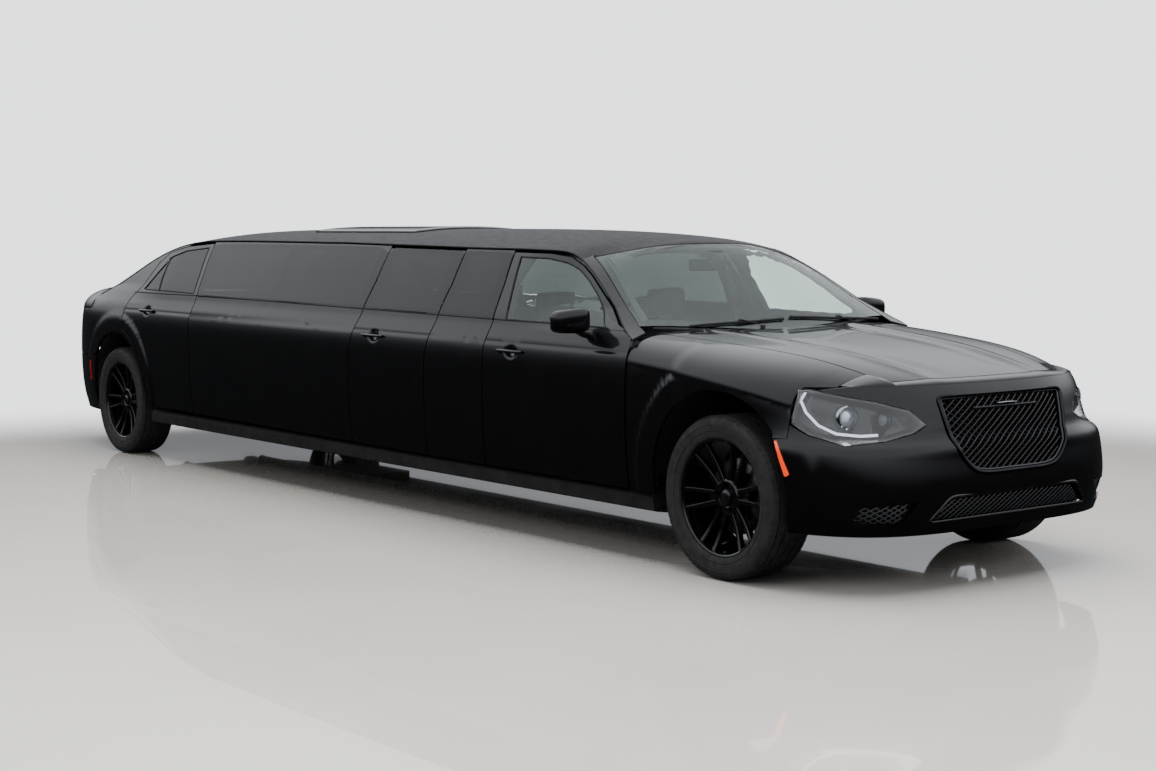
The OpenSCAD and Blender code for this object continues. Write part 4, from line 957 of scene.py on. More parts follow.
slab("hood_skin", on_hood, hood_outline(), (0, 18), "hood", PAINT, step=(38, 26), edge=2.2,
     replaces=("hood",))


def low_v(x, z):
    return z - float(curve(SHOULDER_FRONT, x - FX))


def over_v(x, z):
    """Share over the shoulder at which the fender reaches a height."""
    s = float(curve(SHOULDER_FRONT, x - FX))
    c = float(curve(HOOD_CENTRE, x - FX))
    w = float(side_y(x, s))
    e = math.acos(min((float(hood_edge(x)) + GAP) / w, .995) ** (float(shoulder_power(x)) / 2))
    return 1000 * math.asin(unit((z - s) / (c - s))) / e


def fender_outline():
    """In lengths, and heights from the shoulder or shares over it."""
    over_top = [(x, 1000) for x in np.linspace(FX - 601, FX + 500, 34)]
    lamp = [(x, over_v(x, 853)) for x in np.linspace(FX + 498, FX + 400, 6)]
    front = [(FX + 391, 330), (FX + 391, 60), (FX + 391, low_v(FX + 391, 644)), (FX + 328,
            low_v(FX + 328, 644))]
    arch = [(x, low_v(x, z)) for x, z in arch_points(FX, ARCH_R, 32, 180, 48) if x < FX + 326]
    foot_rear = [(FX - ARCH_R, low_v(FX - ARCH_R, DOOR_FOOT)), (FX - 601, low_v(FX - 601, DOOR_FOOT))]
    rise = [(FX - 601, v) for v in np.linspace(-500, 900, 12)]
    return over_top + lamp + front + arch + foot_rear + rise


def fender_maker(name, side):
    return slab(name, on_fender, fender_outline(), (0, 16), "car_body", PAINT, step=(26, 40),
                side=side, edge=2, replaces=("front_fenders",))


both(fender_maker, ("fender_left", "fender_right"))


def nose_outline(points):
    """Outline on the nose, from places across and heights."""
    return [(float(ring_s_of_y(y, z)), z) for y, z in points]


def mirrored(points):
    return [(-a, b) for a, b in reversed(points)]


def grow(points, distance):
    """Outline on the nose or tail made larger, or smaller when the distance is negative."""
    wide = [(s * RING_MM, z) for s, z in points]
    return [(s / RING_MM, z) for s, z in inset(wide, -distance)]


def s_of_x(x, z, tail=False):
    return float(ring_s_of_x(x, z, tail))


GRILLE_SIDE = [(395, 815), (372, 660), (330, 560), (262, 500), (180, 488)]
GRILLE = GRILLE_SIDE + mirrored(GRILLE_SIDE)
LOWER_GRILLE = [(400, 408), (500, 305), (-500, 305), (-400, 408)]
SIDE_INLET = [(560, 400), (620, 300), (790, 310), (770, 380)]
LAMP_TOP = [(790, 838), (640, 800), (520, 762), (462, 700)]
LAMP_FOOT = [(520, 668), (640, 640), (790, 622), (848, 658)]
GRILLE_HOLE = soft_ring_corners(nose_outline(GRILLE), 34, 5)
LOWER_HOLE = nose_outline(LOWER_GRILLE)
INLET_HOLE = nose_outline(SIDE_INLET)


def bumper_outline():
    """Nose cover: over the grille, round the lamps, back to the fender and along the wheel arch."""
    top = [(float(ring_s_of_y(y, 858)), 858) for y in np.linspace(0, 700, 20)]
    lamp = [(float(ring_s_of_y(796, 844)), 844)] + nose_outline(LAMP_TOP) + nose_outline(LAMP_FOOT)
    lamp += [(s_of_x(FX + 395, 700), 700)]
    back = [(s_of_x(FX + 395, 644), 644), (s_of_x(FX + 332, 638), 638)]
    arch = [(s_of_x(x, z), z) for x, z in arch_points(FX, ARCH_R + 1, 32, -22, 14) if x > FX + 334]
    foot = [(s_of_x(FX + 410, 252), 252)]
    foot += [(s, 252) for s in np.linspace(foot[0][0] - .05, .04, 14)]
    left = top[1:] + lamp + back + arch + foot
    return [top[0]] + left + mirrored(left)


slab("nose_cover", on_nose, bumper_outline(), (0, 20), "car_body", PAINT,
     holes=(GRILLE_HOLE, LOWER_HOLE, INLET_HOLE, mirrored(INLET_HOLE)), step=(.024, 22), edge=2.4,
     replaces=("front_bumper",))


def on_cap(u, v, d):
    """Painted strip that curves from the nose cover's top to the hood's edge."""
    low = np.array([nose_x(y, 858) for y in u])
    low[np.abs(u) > 690] -= 2
    high_x = np.array([hood_front(y) + GAP + 1 if abs(y) < 549 else FX + 502 for y in u])
    high_x = np.minimum(high_x, low - 2)
    high_z = hood_z(high_x, u)
    high_z = np.maximum(high_z, 859)
    a = v * math.pi / 2
    return np.stack([high_x + (low - high_x) * np.cos(a) - d * np.cos(a), u,
                     858 + (high_z - 858) * np.sin(a) - d * np.sin(a)], 1)


slab("nose_cap", on_cap, [(-700, 0), (700, 0), (700, 1), (-700, 1)], (0, 14), "car_body",
     PAINT, step=(18, .1), edge=0, lay=False)


def quarter_low():
    """Flank behind the rear door, from the roof's edge down to the bumper."""
    start = [(1006, .822), (664, .78), (446, .70), (345, .56), (218, .22), (140, 1070), (108, 985),
             (112, 880)]
    start = [(x - GAP, z) for x, z in pts(RX, start)]
    lip = [(RX + (REAR_LIP - GAP) * math.cos(math.radians(a)),
            ARCH_Z + (REAR_LIP - GAP) * math.sin(math.radians(a))) for a in range(75, 3, -5)]
    arch = arch_points(RX, ARCH_R, 5, 144, 44)
    foot = [(RX - 440, 648), (RX - 860, 648), (RX - 862, 688), (RX - 862, 935)]
    behind = [(RX - 955, 938)]
    boot = [(x, float(curve(SHOULDER_REAR, x - RX)) + 1) for x in np.linspace(RX - 930, BOOT_START, 14)]
    rail = rail_points(BOOT_START + 4, RX + 690, 6, 30)
    top = [(RX + 700, float(rail_z(RX + 700)) - 6)]
    return start[1:] + lip + arch + foot + behind + boot + rail + top


def quarter_shoulder():
    xs = np.linspace(BOOT_START + 2, RX - 1085, 18)
    return [(x, 0) for x in xs] + [(x, 1000) for x in reversed(xs)]


def quarter_maker(name, side):
    slab(name + "_shoulder", on_quarter, quarter_shoulder(), (0, 16), "car_body", PAINT,
         step=(30, 120), side=side, edge=0, replaces=("rear_quarters",))
    return slab(name, on_flank, quarter_low(), trim_depth(0, 18, 30), "car_body", PAINT,
                step=(26, 22), side=side, edge=1.6, replaces=("rear_quarters",))


both(quarter_maker, ("quarter_left", "quarter_right"))


def tail_outline():
    top = [(s, 640) for s in np.linspace(0, s_of_x(RX - 444, 640, True), 22)]
    arch = [(s_of_x(x, z, True), z) for x, z in arch_points(RX, ARCH_R + 1, 147, 200, 12) if x < RX - 345]
    foot = [(s_of_x(RX - 420, 262, True), 262)]
    foot += [(s, 262) for s in np.linspace(foot[0][0] - .05, .04, 14)]
    left = top[1:] + arch + foot
    return [top[0]] + left + mirrored(left)


slab("tail_bumper", on_tail, tail_outline(), (0, 20), "car_body", PAINT, step=(.026, 24),
     edge=2.4, replaces=("rear_bumper",))


# Tail between bumper and boot shoulder: lamp recess edges and the corner panels
def corner_panel(name, side):
    rise = [(s_of_x(RX - 862, z, True), z) for z in np.linspace(648, 690, 3)]
    tuck = [(float(ring_s_of_y(642, z, True)), z) for z in (690, 648)]
    return slab(name, on_tail, rise + tuck, (0, 14), "car_body", PAINT, step=(.03, 22),
                side=side, edge=1.4)


both(corner_panel, ("tail_corner_left", "tail_corner_right"))


def boot_outline():
    front = [(BOOT_START - GAP, y) for y in np.linspace(-686, 686, 30)]
    side = [(x, 686) for x in np.linspace(BOOT_START - 40, RX - 948, 12)]
    tail = [(RX - 952, 626)] + [(max(tail_x(y, 1050), RX - 1078), y) for y in np.linspace(620, 0, 14)]
    left = side + tail
    return front + left + [(x, -y) for x, y in reversed(left[:-1])]


slab("boot_skin", on_boot, boot_outline(), (0, 18), "boot_lid", PAINT, step=(30, 28), edge=2,
     replaces=("boot_lid",))


def boot_tail_outline():
    def s(y, z):
        return float(ring_s_of_y(y, z, True))
    left = [(s(y, 1040), 1040) for y in np.linspace(0, 620, 16)] + [(s(621, 930), 930), (s(621, 760), 760)]
    left += [(s(621, 664), 664)] + [(s(y, 664), 664) for y in np.linspace(600, 20, 14)]
    return left + mirrored(left[1:])


slab("boot_tail", on_tail, boot_tail_outline(), (0, 18), "boot_lid", PAINT, step=(.026, 22),
     edge=2)

HANDLES = [("front_door", FX - 1510, 912), ("mid_door", FX - 2790, 935), ("rear_door", FX - 5645, 978)]


def door_maker(name, outline, window, handle, side, body):
    """Outer skin with the handle's cup, and inner panel with the window opening."""
    x0, z0 = handle
    shut = inset(outline, GAP)
    slab(name + "_skin", on_flank, dense(shut, 60), skin_depth(14, (handle_dent(x0, z0),)), body,
         PAINT, holes=(window,), step=(30, 24), side=side, edge=1.8, extra_u=fine_lines(x0,
            72, 7), extra_v=fine_lines(z0, 46, 7), dents=((x0, z0, 80),), replaces=(body,))
    slab(name + "_inner", on_flank, dense(inset(outline, GAP + 24), 90), trim_depth(14, 100, 36), body,
         DASH, holes=(window,), step=(80, 50), side=side, edge=2, lay=False)


door_maker("front_door_left", FRONT_DOOR, FRONT_WINDOW, HANDLES[0][1:], 1, "front_door_left")
door_maker("front_door_right", FRONT_DOOR, FRONT_WINDOW, HANDLES[0][1:], -1, "front_door_right")
door_maker("mid_door_right", MID_DOOR, MID_WINDOW, HANDLES[1][1:], -1, "mid_door_right")
door_maker("rear_door_left", REAR_DOOR, REAR_WINDOW, HANDLES[2][1:], 1, "rear_door_left")
door_maker("rear_door_right", REAR_DOOR, REAR_WINDOW, HANDLES[2][1:], -1, "rear_door_right")


def top_rail(a, b, drop):
    """Points just under the roof's edge from one length to another."""
    return rail_points(a, b, drop, 20)


SHORT_PANEL = pts(FX, [(-1745, DOOR_FOOT), (-1745, 940), (-1728, 1050), (-1744, .43), (-1780, .70)])
SHORT_PANEL += top_rail(FX - 1788, FX - 2226, 7)
SHORT_PANEL += pts(FX, [(-2219, .70), (-2206, .43), (-2228, 1060), (-2258, 936), (-2277, 850),
                        (-2277, DOOR_FOOT)])
LONG_FRONT = pts(FX, [(-3041, 334), (-3041, 854), (-3016, 946), (-2979, 1060), (-2953, .43), (-2961, .70)])
LONG_REAR = pts(RX, [(1022, .74), (1055, .48), (1092, 1090), (1080, 940), (1094, 752), (1098, 348)])
LONG_RIGHT = LONG_FRONT + top_rail(FX - 2966, RX + 1008, 7) + LONG_REAR
LONG_LEFT = SHORT_PANEL[:5] + top_rail(FX - 1788, RX + 1008, 7) + LONG_REAR


def panel_maker(name, outline, windows, side):
    slab(name, on_flank, dense(inset(outline, GAP), 60), trim_depth(0, 20, 34), "car_body",
         PAINT, holes=windows, step=(34, 24), side=side, edge=1.8, replaces=("stretch_panels",))


panel_maker("short_panel_right", SHORT_PANEL, (SHORT_WINDOW,), -1)
panel_maker("long_panel_right", LONG_RIGHT, RIGHT_WINDOWS, -1)
panel_maker("long_panel_left", LONG_LEFT, LEFT_WINDOWS, 1)


# ---------------------------------------------------------------- roof and its glass
def windscreen_plan(g):
    ks = [-1 + k / 8 for k in range(17)]
    front = [(FX - 572 - 118 * k * k - g, k * (795 - g)) for k in ks]
    return front + [(FX - 1125 - 118 * k * k + g, k * (628 - g)) for k in reversed(ks)]


def rear_window_plan(g):
    ks = [-1 + k / 8 for k in range(17)]
    top = [(RX + 290 + 90 * k * k - g, k * (560 - g)) for k in ks]
    return [(BOOT_START + 24 + 100 * k * k + g, k * (640 - g)) for k in reversed(ks)] + top


def roof_half(x):
    return float(rail_y(np.array([x]))[0]) - .6


HATCH = [(MID_X - 640, -380), (MID_X - 640, 380), (MID_X + 540, 380), (MID_X + 540, -380)]


def roof_outline(a, b, count):
    xs = np.linspace(a, b, count)
    return [(x, roof_half(x)) for x in xs] + [(x, -roof_half(x)) for x in reversed(xs)]


SPLIT = FX - 1255


def roof_depth(u, v, w):
    edge = (np.abs(v) / rail_y(u)) ** 4
    return w * mix(26, 6, np.minimum(edge, 1))


def pillar_outline():
    """Front pillar, between the side glass and the windscreen, from the roof's front edge to the cowl."""
    xs = np.linspace(SPLIT, FX - 614, 26)
    out = [(x, roof_half(x)) for x in xs]
    inner = [(FX - 692 - 551 * k / 8, 796 - 167 * k / 8) for k in range(9)]
    return out + [(FX - 640, 802)] + inner + [(SPLIT, 616)]


def pillar_maker(name, side):
    return slab(name, on_cab, pillar_outline(), roof_depth, "car_body", PAINT, step=(24, 24),
                side=side, edge=1.2, replaces=("roof_shell",))


both(pillar_maker, ("front_pillar_left", "front_pillar_right"))
screen_top = [(FX - 1125 - 118 * k * k, k * 628) for k in [-.97 + 1.94 * i / 18 for i in range(19)]]
roof_line = roof_outline(BOOT_START + 2, SPLIT, 90)
half = len(roof_line) // 2
roof_line = roof_line[:half] + [(SPLIT, 617)] + list(reversed(screen_top)) + [(SPLIT,
        -617)] + roof_line[half:]
slab("roof_skin", on_cab, roof_line, roof_depth, "car_body", ROOF,
     holes=(rear_window_plan(0), HATCH), step=(46, 34), edge=1.4, replaces=("roof_shell",))
slab("windscreen_glass", on_cab, windscreen_plan(4), (2, 7), "car_body", CLEAR_GLASS,
     step=(26, 40), edge=0, replaces=("windscreen",))
slab("rear_screen_glass", on_cab, rear_window_plan(4), (2, 7), "car_body", DARK_GLASS,
     step=(30, 40), edge=0, replaces=("fixed_glass",))


def hatch_depth(u, v, w):
    edge = np.minimum(np.minimum(u - MID_X + 636, MID_X + 536 - u), 376 - np.abs(v))
    return mix(-15 + 8 * (1 - ease(edge / 40)), 8, w)


slab("roof_hatch_panel", on_cab, soft_corners([(x * .993 + MID_X * .007, y * .99) for x, y in HATCH], 50,
        5), hatch_depth, "car_body", GLOSS_TRIM, step=(30, 30), edge=3,
        replaces=("moonroof",), lay=False)


# ---------------------------------------------------------------- side glass
def glass_maker(name, outline, side, body, material, node, depth=(2, 7)):
    slab(name, on_flank, dense(outline, 60), depth, body, material, step=(40, 30), side=side, edge=0,
         replaces=(node,))


for word, side in (("left", 1), ("right", -1)):
    glass_maker("front_pane_" + word, inset(FRONT_WINDOW, 3), side, "front_door_" + word, CLEAR_GLASS,
                "front_glass_" + word)
    glass_maker("rear_pane_" + word, inset(REAR_WINDOW, 3), side, "rear_door_" + word, DARK_GLASS,
                "rear_glass_" + word)


def belt_line(a, b, rise):
    return [(x, float(belt(x)) + rise) for x in np.linspace(a, b, 14)]


def flush_glass(front, rear, rise=8, drop=20):
    """Outline of glass that covers a panel's whole upper part, from its front and rear edges."""
    low = belt_line(front[0][0], rear[0][0], rise)
    high = rail_points(rear[-1][0], front[-1][0], drop, 20)
    return low[1:-1] + rear + high[1:-1] + list(reversed(front))


SHORT_FRONT_EDGE = pts(FX, [(-1735, 1062), (-1751, .43), (-1790, .73)])
SHORT_REAR_EDGE = pts(FX, [(-2221, 1066), (-2199, .43), (-2214, .74)])
MID_FRONT_EDGE = pts(FX, [(-2235, 1068), (-2213, .43), (-2229, .735)])
MID_REAR_EDGE = pts(FX, [(-2972, 1072), (-2946, .43), (-2957, .74)])
LONG_FRONT_EDGE = pts(FX, [(-2986, 1074), (-2960, .43), (-2971, .74)])
LONG_REAR_EDGE = pts(RX, [(1097, 1096), (1062, .48), (1016, .79)])

for name, front_edge, rear_edge, side, body, node in (("short_glass_right", SHORT_FRONT_EDGE,
        SHORT_REAR_EDGE, -1, "car_body", "fixed_glass"), ("mid_glass_skin_right", MID_FRONT_EDGE,
        MID_REAR_EDGE, -1, "mid_door_right", "mid_glass_right"), ("long_glass_right", LONG_FRONT_EDGE,
        LONG_REAR_EDGE, -1, "car_body", "fixed_glass"), ("long_glass_left", SHORT_FRONT_EDGE,
        LONG_REAR_EDGE, 1, "car_body", "fixed_glass")):
    slab(name, on_flank, flush_glass(front_edge, rear_edge), (-1.4, 0.0), body, DARK_GLASS,
         step=(60, 34), side=side, edge=0, replaces=(node,))
    slab(name + "_frit", on_flank, flush_glass(front_edge, rear_edge, 10, 22), (-.05, .05), body,
         FRIT, step=(60, 34), side=side, edge=0, lay=False, holes=[inset(w,
            6) for w in (RIGHT_WINDOWS if name == "long_glass_right" else LEFT_WINDOWS
                         if side == 1 else [SHORT_WINDOW] if name == "short_glass_right" else [MID_WINDOW])])


# ---------------------------------------------------------------- small solid shapes
def box_shape(size, spot, radius=2, segments=2):
    """Box with rounded edges, in millimetres."""
    bm = bmesh.new()
    bmesh.ops.create_cube(bm, size=1)
    bmesh.ops.scale(bm, verts=bm.verts, vec=[s * MM for s in size])
    if radius:
        bmesh.ops.bevel(bm, geom=bm.edges[:], offset=radius * MM, offset_type="OFFSET", segments=segments,
                        profile=.5, affect="EDGES", material=-1, clamp_overlap=True)
    bmesh.ops.translate(bm, verts=bm.verts, vec=[c * MM for c in spot])
    return bm


def join_into(bm, other, matrix=None):
    """Adds another bmesh to this one."""
    if matrix is not None:
        bmesh.ops.transform(other, matrix=matrix, verts=other.verts)
    mesh = bpy.data.meshes.new("part")
    other.to_mesh(mesh)
    other.free()
    bm.from_mesh(mesh)
    bpy.data.meshes.remove(mesh)


def ball_shape(radius, segments=24):
    bm = bmesh.new()
    bmesh.ops.create_uvsphere(bm, u_segments=segments, v_segments=segments // 2, radius=radius * MM)
    return bm


def rod_shape(a, b, radius, segments=12, radius2=None):
    """Round rod between two points, in millimetres."""
    start = Vector(a) * MM
    way = Vector(b) * MM - start
    bm = bmesh.new()
    bmesh.ops.create_cone(bm, cap_ends=True, segments=segments, radius1=radius * MM, radius2=(radius
            if radius2 is None else radius2) * MM, depth=way.length)
    turn = way.to_track_quat("Z", "Y").to_matrix().to_4x4()
    bmesh.ops.transform(bm, matrix=Matrix.Translation(start + way / 2) @ turn, verts=bm.verts)
    return bm


def spin_shape(profile, centre, axis, steps=64):
    """Full turn of a closed profile of (radius, along) round an axis, in millimetres."""
    bm = bmesh.new()
    way = Vector(axis).normalized()
    out = way.orthogonal().normalized()
    ring = [bm.verts.new(Vector(centre) * MM + out * r * MM + way * h * MM) for r, h in profile]
    edges = [bm.edges.new((ring[i], ring[(i + 1) % len(ring)])) for i in range(len(ring))]
    bmesh.ops.spin(bm, geom=ring + edges, cent=Vector(centre) * MM, axis=way, angle=math.tau, steps=steps,
                   use_merge=True)
    bmesh.ops.remove_doubles(bm, verts=bm.verts, dist=1e-6)
    bmesh.ops.recalc_face_normals(bm, faces=bm.faces)
    return bm


def grid_strip(points_a, points_b):
    """Strip of faces between two rows of points."""
    bm = bmesh.new()
    rows = [[bm.verts.new(Vector(p) * MM) for p in row] for row in (points_a, points_b)]
    edges = [[bm.edges.new(pair) for pair in zip(row, row[1:])] for row in rows]
    bmesh.ops.bridge_loops(bm, edges=edges[0] + edges[1])
    return bm


def tube_shape(points, radius, sides=8, closed=False, flat=1.0, up=(0, 0, 1)):
    """Bar swept along points: round, or flattened by a share along a direction."""
    bm = bmesh.new()
    rings = []
    n = len(points)
    for i, point in enumerate(points):
        a = Vector(points[(i - 1) % n] if closed or i else points[0])
        b = Vector(points[(i + 1) % n] if closed or i < n - 1 else points[-1])
        way = (b - a).normalized()
        side = way.cross(Vector(up)).normalized()
        top = side.cross(way)
        ring = []
        for k in range(sides):
            t = math.tau * k / sides
            spot = Vector(point) + side * math.cos(t) * radius + top * math.sin(t) * radius * flat
            ring.append(bm.verts.new(spot * MM))
        rings.append(ring)
    loops = []
    for ring in rings:
        loops.append([bm.edges.new((ring[k], ring[(k + 1) % sides])) for k in range(sides)])
    pairs = list(zip(loops, loops[1:])) + ([(loops[-1], loops[0])] if closed else [])
    for one, two in pairs:
        bmesh.ops.bridge_loops(bm, edges=one + two)
    if not closed:
        for ring in (rings[0], rings[-1]):
            bm.faces.new(ring)
    bmesh.ops.recalc_face_normals(bm, faces=bm.faces)
    return bm


def on_line(surface, points, lift, side=1):
    """Points of a surface along an outline, lifted off it."""
    u = np.array([p[0] for p in points], float)
    v = np.array([p[1] for p in points], float)
    out = surface(u, v, np.full(len(points), -float(lift)))
    out[:, 1] *= side
    return [tuple(p) for p in out]


# ---------------------------------------------------------------- nose: grille, inlets and lamps
def nose_point(y, z, back=0):
    return (nose_x(y, z) - back, y, z)


def inside(outline, y, z, margin=0):
    """Whether a place lies inside an outline, at least a margin from its edges."""
    hit = False
    near = 1e9
    for (x1, y1), (x2, y2) in zip(outline, outline[1:] + outline[:1]):
        if (y1 > z) != (y2 > z) and y < (x2 - x1) * (z - y1) / (y2 - y1) + x1:
            hit = not hit
        dx, dy = x2 - x1, y2 - y1
        t = max(0, min(1, ((y - x1) * dx + (z - y1) * dy) / max(dx * dx + dy * dy, 1e-9)))
        near = min(near, math.hypot(y - x1 - t * dx, z - y1 - t * dy))
    return hit and near >= margin


def mesh_of_diamonds(name, outline, pitch_y, pitch_z, back, depth, wall, node):
    """Grille of diamond cells: a frame of crossed bars that follows the nose."""
    bm = bmesh.new()
    z_low = min(p[1] for p in outline)
    z_high = max(p[1] for p in outline)
    y_high = max(abs(p[0]) for p in outline)
    rows = int((z_high - z_low) / (pitch_z / 2)) + 2
    cols = int(2 * y_high / pitch_y) + 4
    for r in range(rows):
        z = z_low + r * pitch_z / 2
        for c in range(-cols // 2, cols // 2 + 1):
            y = (c + (r % 2) / 2) * pitch_y
            if not inside(outline, y, z, 3):
                continue
            # Raised rim round one cell: a diamond ring, open in the middle
            ring_out = [(y + pitch_y / 2, z), (y, z + pitch_z / 2), (y - pitch_y / 2, z),
                        (y, z - pitch_z / 2)]
            ring_in = [(y + (a - y) * wall, z + (b - z) * wall) for a, b in ring_out]
            outer = [bm.verts.new(Vector(nose_point(a, b, back + 1.5)) * MM) for a, b in ring_out]
            inner = [bm.verts.new(Vector(nose_point(a, b, back)) * MM) for a, b in ring_in]
            deep = [bm.verts.new(Vector(nose_point(a, b, back + depth)) * MM) for a, b in ring_in]
            for k in range(4):
                m = (k + 1) % 4
                bm.faces.new((outer[k], outer[m], inner[m], inner[k]))
                bm.faces.new((inner[k], inner[m], deep[m], deep[k]))
    bmesh.ops.remove_doubles(bm, verts=bm.verts, dist=1e-5)
    bmesh.ops.recalc_face_normals(bm, faces=bm.faces)
    fresh(name, bm, "car_body", GLOSS_TRIM, replaces=(node,), smooth=False)


mesh_of_diamonds("grille_mesh", GRILLE, 41, 27, 16, 16, .78, "grilles")
mesh_of_diamonds("lower_mesh", LOWER_GRILLE, 34, 22, 18, 14, .72, "grilles")
for word, side in (("left", 1), ("right", -1)):
    mesh_of_diamonds("inlet_mesh_" + word, [(y * side, z) for y, z in SIDE_INLET], 34, 22, 18, 10, .72,
                     "grilles")

# Dark plates behind the meshes keep the engine bay out of sight
for name, outline, back in (("grille_back", GRILLE, 36), ("lower_back", LOWER_GRILLE, 34)):
    def on_back(u, v, d, back=back):
        x = np.array([nose_x(y, z) for y, z in zip(u, v)])
        return np.stack([x - back - d, u, v], 1)
    slab(name, on_back, [(y * 1.0, z) for y, z in outline], (0, 4), "car_body", PLASTIC,
         step=60, edge=0, lay=False)
for word, side in (("left", 1), ("right", -1)):
    def on_inlet(u, v, d):
        x = np.array([nose_x(y, z) for y, z in zip(u, v)])
        return np.stack([x - 30 - d, u, v], 1)
    slab("inlet_back_" + word, on_inlet, SIDE_INLET, (0, 4), "car_body", PLASTIC, step=40,
         side=side, edge=0, lay=False)

# Surround: a smoked chrome band with a gloss black inner lip, and a gloss black ring round the lower grille
edge_line = [(s, z) for s, z in GRILLE_HOLE]
band = on_line(on_nose, grow(edge_line, -3), 2)
fresh("grille_surround", tube_shape(band, 9, 10, closed=True, flat=.7, up=(1, 0, .2)), "car_body",
      DARK_CHROME)
lip = on_line(on_nose, grow(edge_line, -14), -7)
fresh("grille_inner_lip", tube_shape(lip, 6, 8, closed=True, up=(1, 0, .2)), "car_body",
      GLOSS_TRIM)
low_line = soft_ring_corners(LOWER_HOLE, 22, 3)
fresh("lower_surround", tube_shape(on_line(on_nose, low_line, -1), 7, 8, closed=True, up=(1, 0, .2)),
      "car_body", GLOSS_TRIM)
# Small bright blade across the upper part of the grille, and its two dark wings
blade = [nose_point(y, 772 - abs(y) * .02, 8) for y in np.linspace(-62, 62, 15)]
bm = tube_shape(blade, 6.5, 10, flat=.55)
for vert in bm.verts:
    share = abs(vert.co.y / MM) / 62
    vert.co.z = 771 * MM + (vert.co.z - 771 * MM) * (1 - .55 * share ** 3)
fresh("grille_blade", bm, "car_body", CHROME)
fresh("grille_bar", tube_shape([nose_point(y, 757, 14) for y in np.linspace(-200, 200, 21)], 5, 8),
      "car_body", GLOSS_TRIM)


def lamp_outline():
    """Outline of a headlamp on the nose, back to the fender."""
    line = nose_outline(LAMP_TOP[::-1]) + [(float(ring_s_of_y(815, 843)), 843)]
    line += [(s_of_x(FX + 398, 846), 846), (s_of_x(FX + 398, 790), 790), (s_of_x(FX + 398, 704), 704)]
    line += nose_outline(LAMP_FOOT[::-1])
    return line


LAMP_LINE = lamp_outline()


def lamp_maker(word, side):
    body = "car_body"
    slab("lamp_lens_" + word, on_nose, grow(LAMP_LINE, -2.5), (1, 4), body, LENS,
         step=(.02, 18), side=side, edge=.8, replaces=("headlamps",))
    # Bucket: a dark tray behind the lens, with walls up to it
    slab("lamp_tray_" + word, on_nose, grow(LAMP_LINE, -6), (78, 82), body, GLOSS_TRIM,
         step=(.04, 40), side=side, edge=0, lay=False)
    rim = grow(LAMP_LINE, -4)
    hollow = grow(LAMP_LINE, -11)
    slab("lamp_bezel_" + word, on_nose, rim, (5, 78), body, GLOSS_TRIM, holes=(hollow,),
         step=(.05, 60), side=side, edge=0, lay=False)
    # Projector: thick glass ball in a bright chrome shroud
    y, z = 728, 734
    x = nose_x(y, z)
    ahead = Vector((1, .16 * side, 0)).normalized()
    c = Vector((x - 34, y * side, z))
    shroud = spin_shape([(39, -30), (46, -30), (50, 8), (44, 10)], c, ahead, 40)
    fresh("lamp_shroud_" + word, shroud, body, CHROME)
    ball = ball_shape(39, 32)
    bmesh.ops.translate(ball, verts=ball.verts, vec=(c - ahead * 14) * MM)
    fresh("lamp_ball_" + word, ball, body, BALL)
    # Inner reflector with fins
    inner = Vector((nose_x(600, 722) - 46, 600 * side, 722))
    bm = spin_shape([(30, -26), (34, -26), (42, 8), (38, 9)], inner, ahead, 32)
    fresh("lamp_high_" + word, bm, body, DARK_CHROME)
    small = ball_shape(26, 20)
    bmesh.ops.translate(small, verts=small.verts, vec=(inner - ahead * 16) * MM)
    fresh("lamp_high_ball_" + word, small, body, BALL)
    fins = bmesh.new()
    for k in range(7):
        yy = 520 + 12 * k
        join_into(fins, box_shape((3, 5, 40), (nose_x(yy, 715) - 44, yy * side, 716), .6, 1))
    fresh("lamp_fins_" + word, fins, body, CHROME)
    # Light guide: a bright hook along the outer edge and under the lamp
    hook = [(830, 838), (852, 800), (846, 752), (826, 700), (788, 668), (720, 660), (660, 664)]
    path = [(float(ring_s_of_y(min(a, 850), b)), b) for a, b in hook]
    fine = []
    for one, two in zip(path, path[1:]):
        fine += [(one[0] + (two[0] - one[0]) * k / 4, one[1] + (two[1] - one[1]) * k / 4) for k in range(4)]
    fine.append(path[-1])
    fresh("lamp_guide_" + word, tube_shape(on_line(on_nose, fine, -24, side), 5.5, 8, up=(1, 0, 0)), body,
          GUIDE)
    # Amber marker on the cover, ahead of the wheel
    mark = [(s_of_x(FX + 322 + 16, 640), 634), (s_of_x(FX + 352, 634), 634), (s_of_x(FX + 430, 500), 500),
            (s_of_x(FX + 408, 488), 488)]
    # The marker's faint amber glow is painted light; it is a reflector, not a lamp
    slab("side_marker_" + word, on_nose, soft_ring_corners(mark, 6, 3), (-3, 4), body, AMBER,
         step=(.02, 16), side=side, edge=1)


lamp_maker("left", 1)
lamp_maker("right", -1)


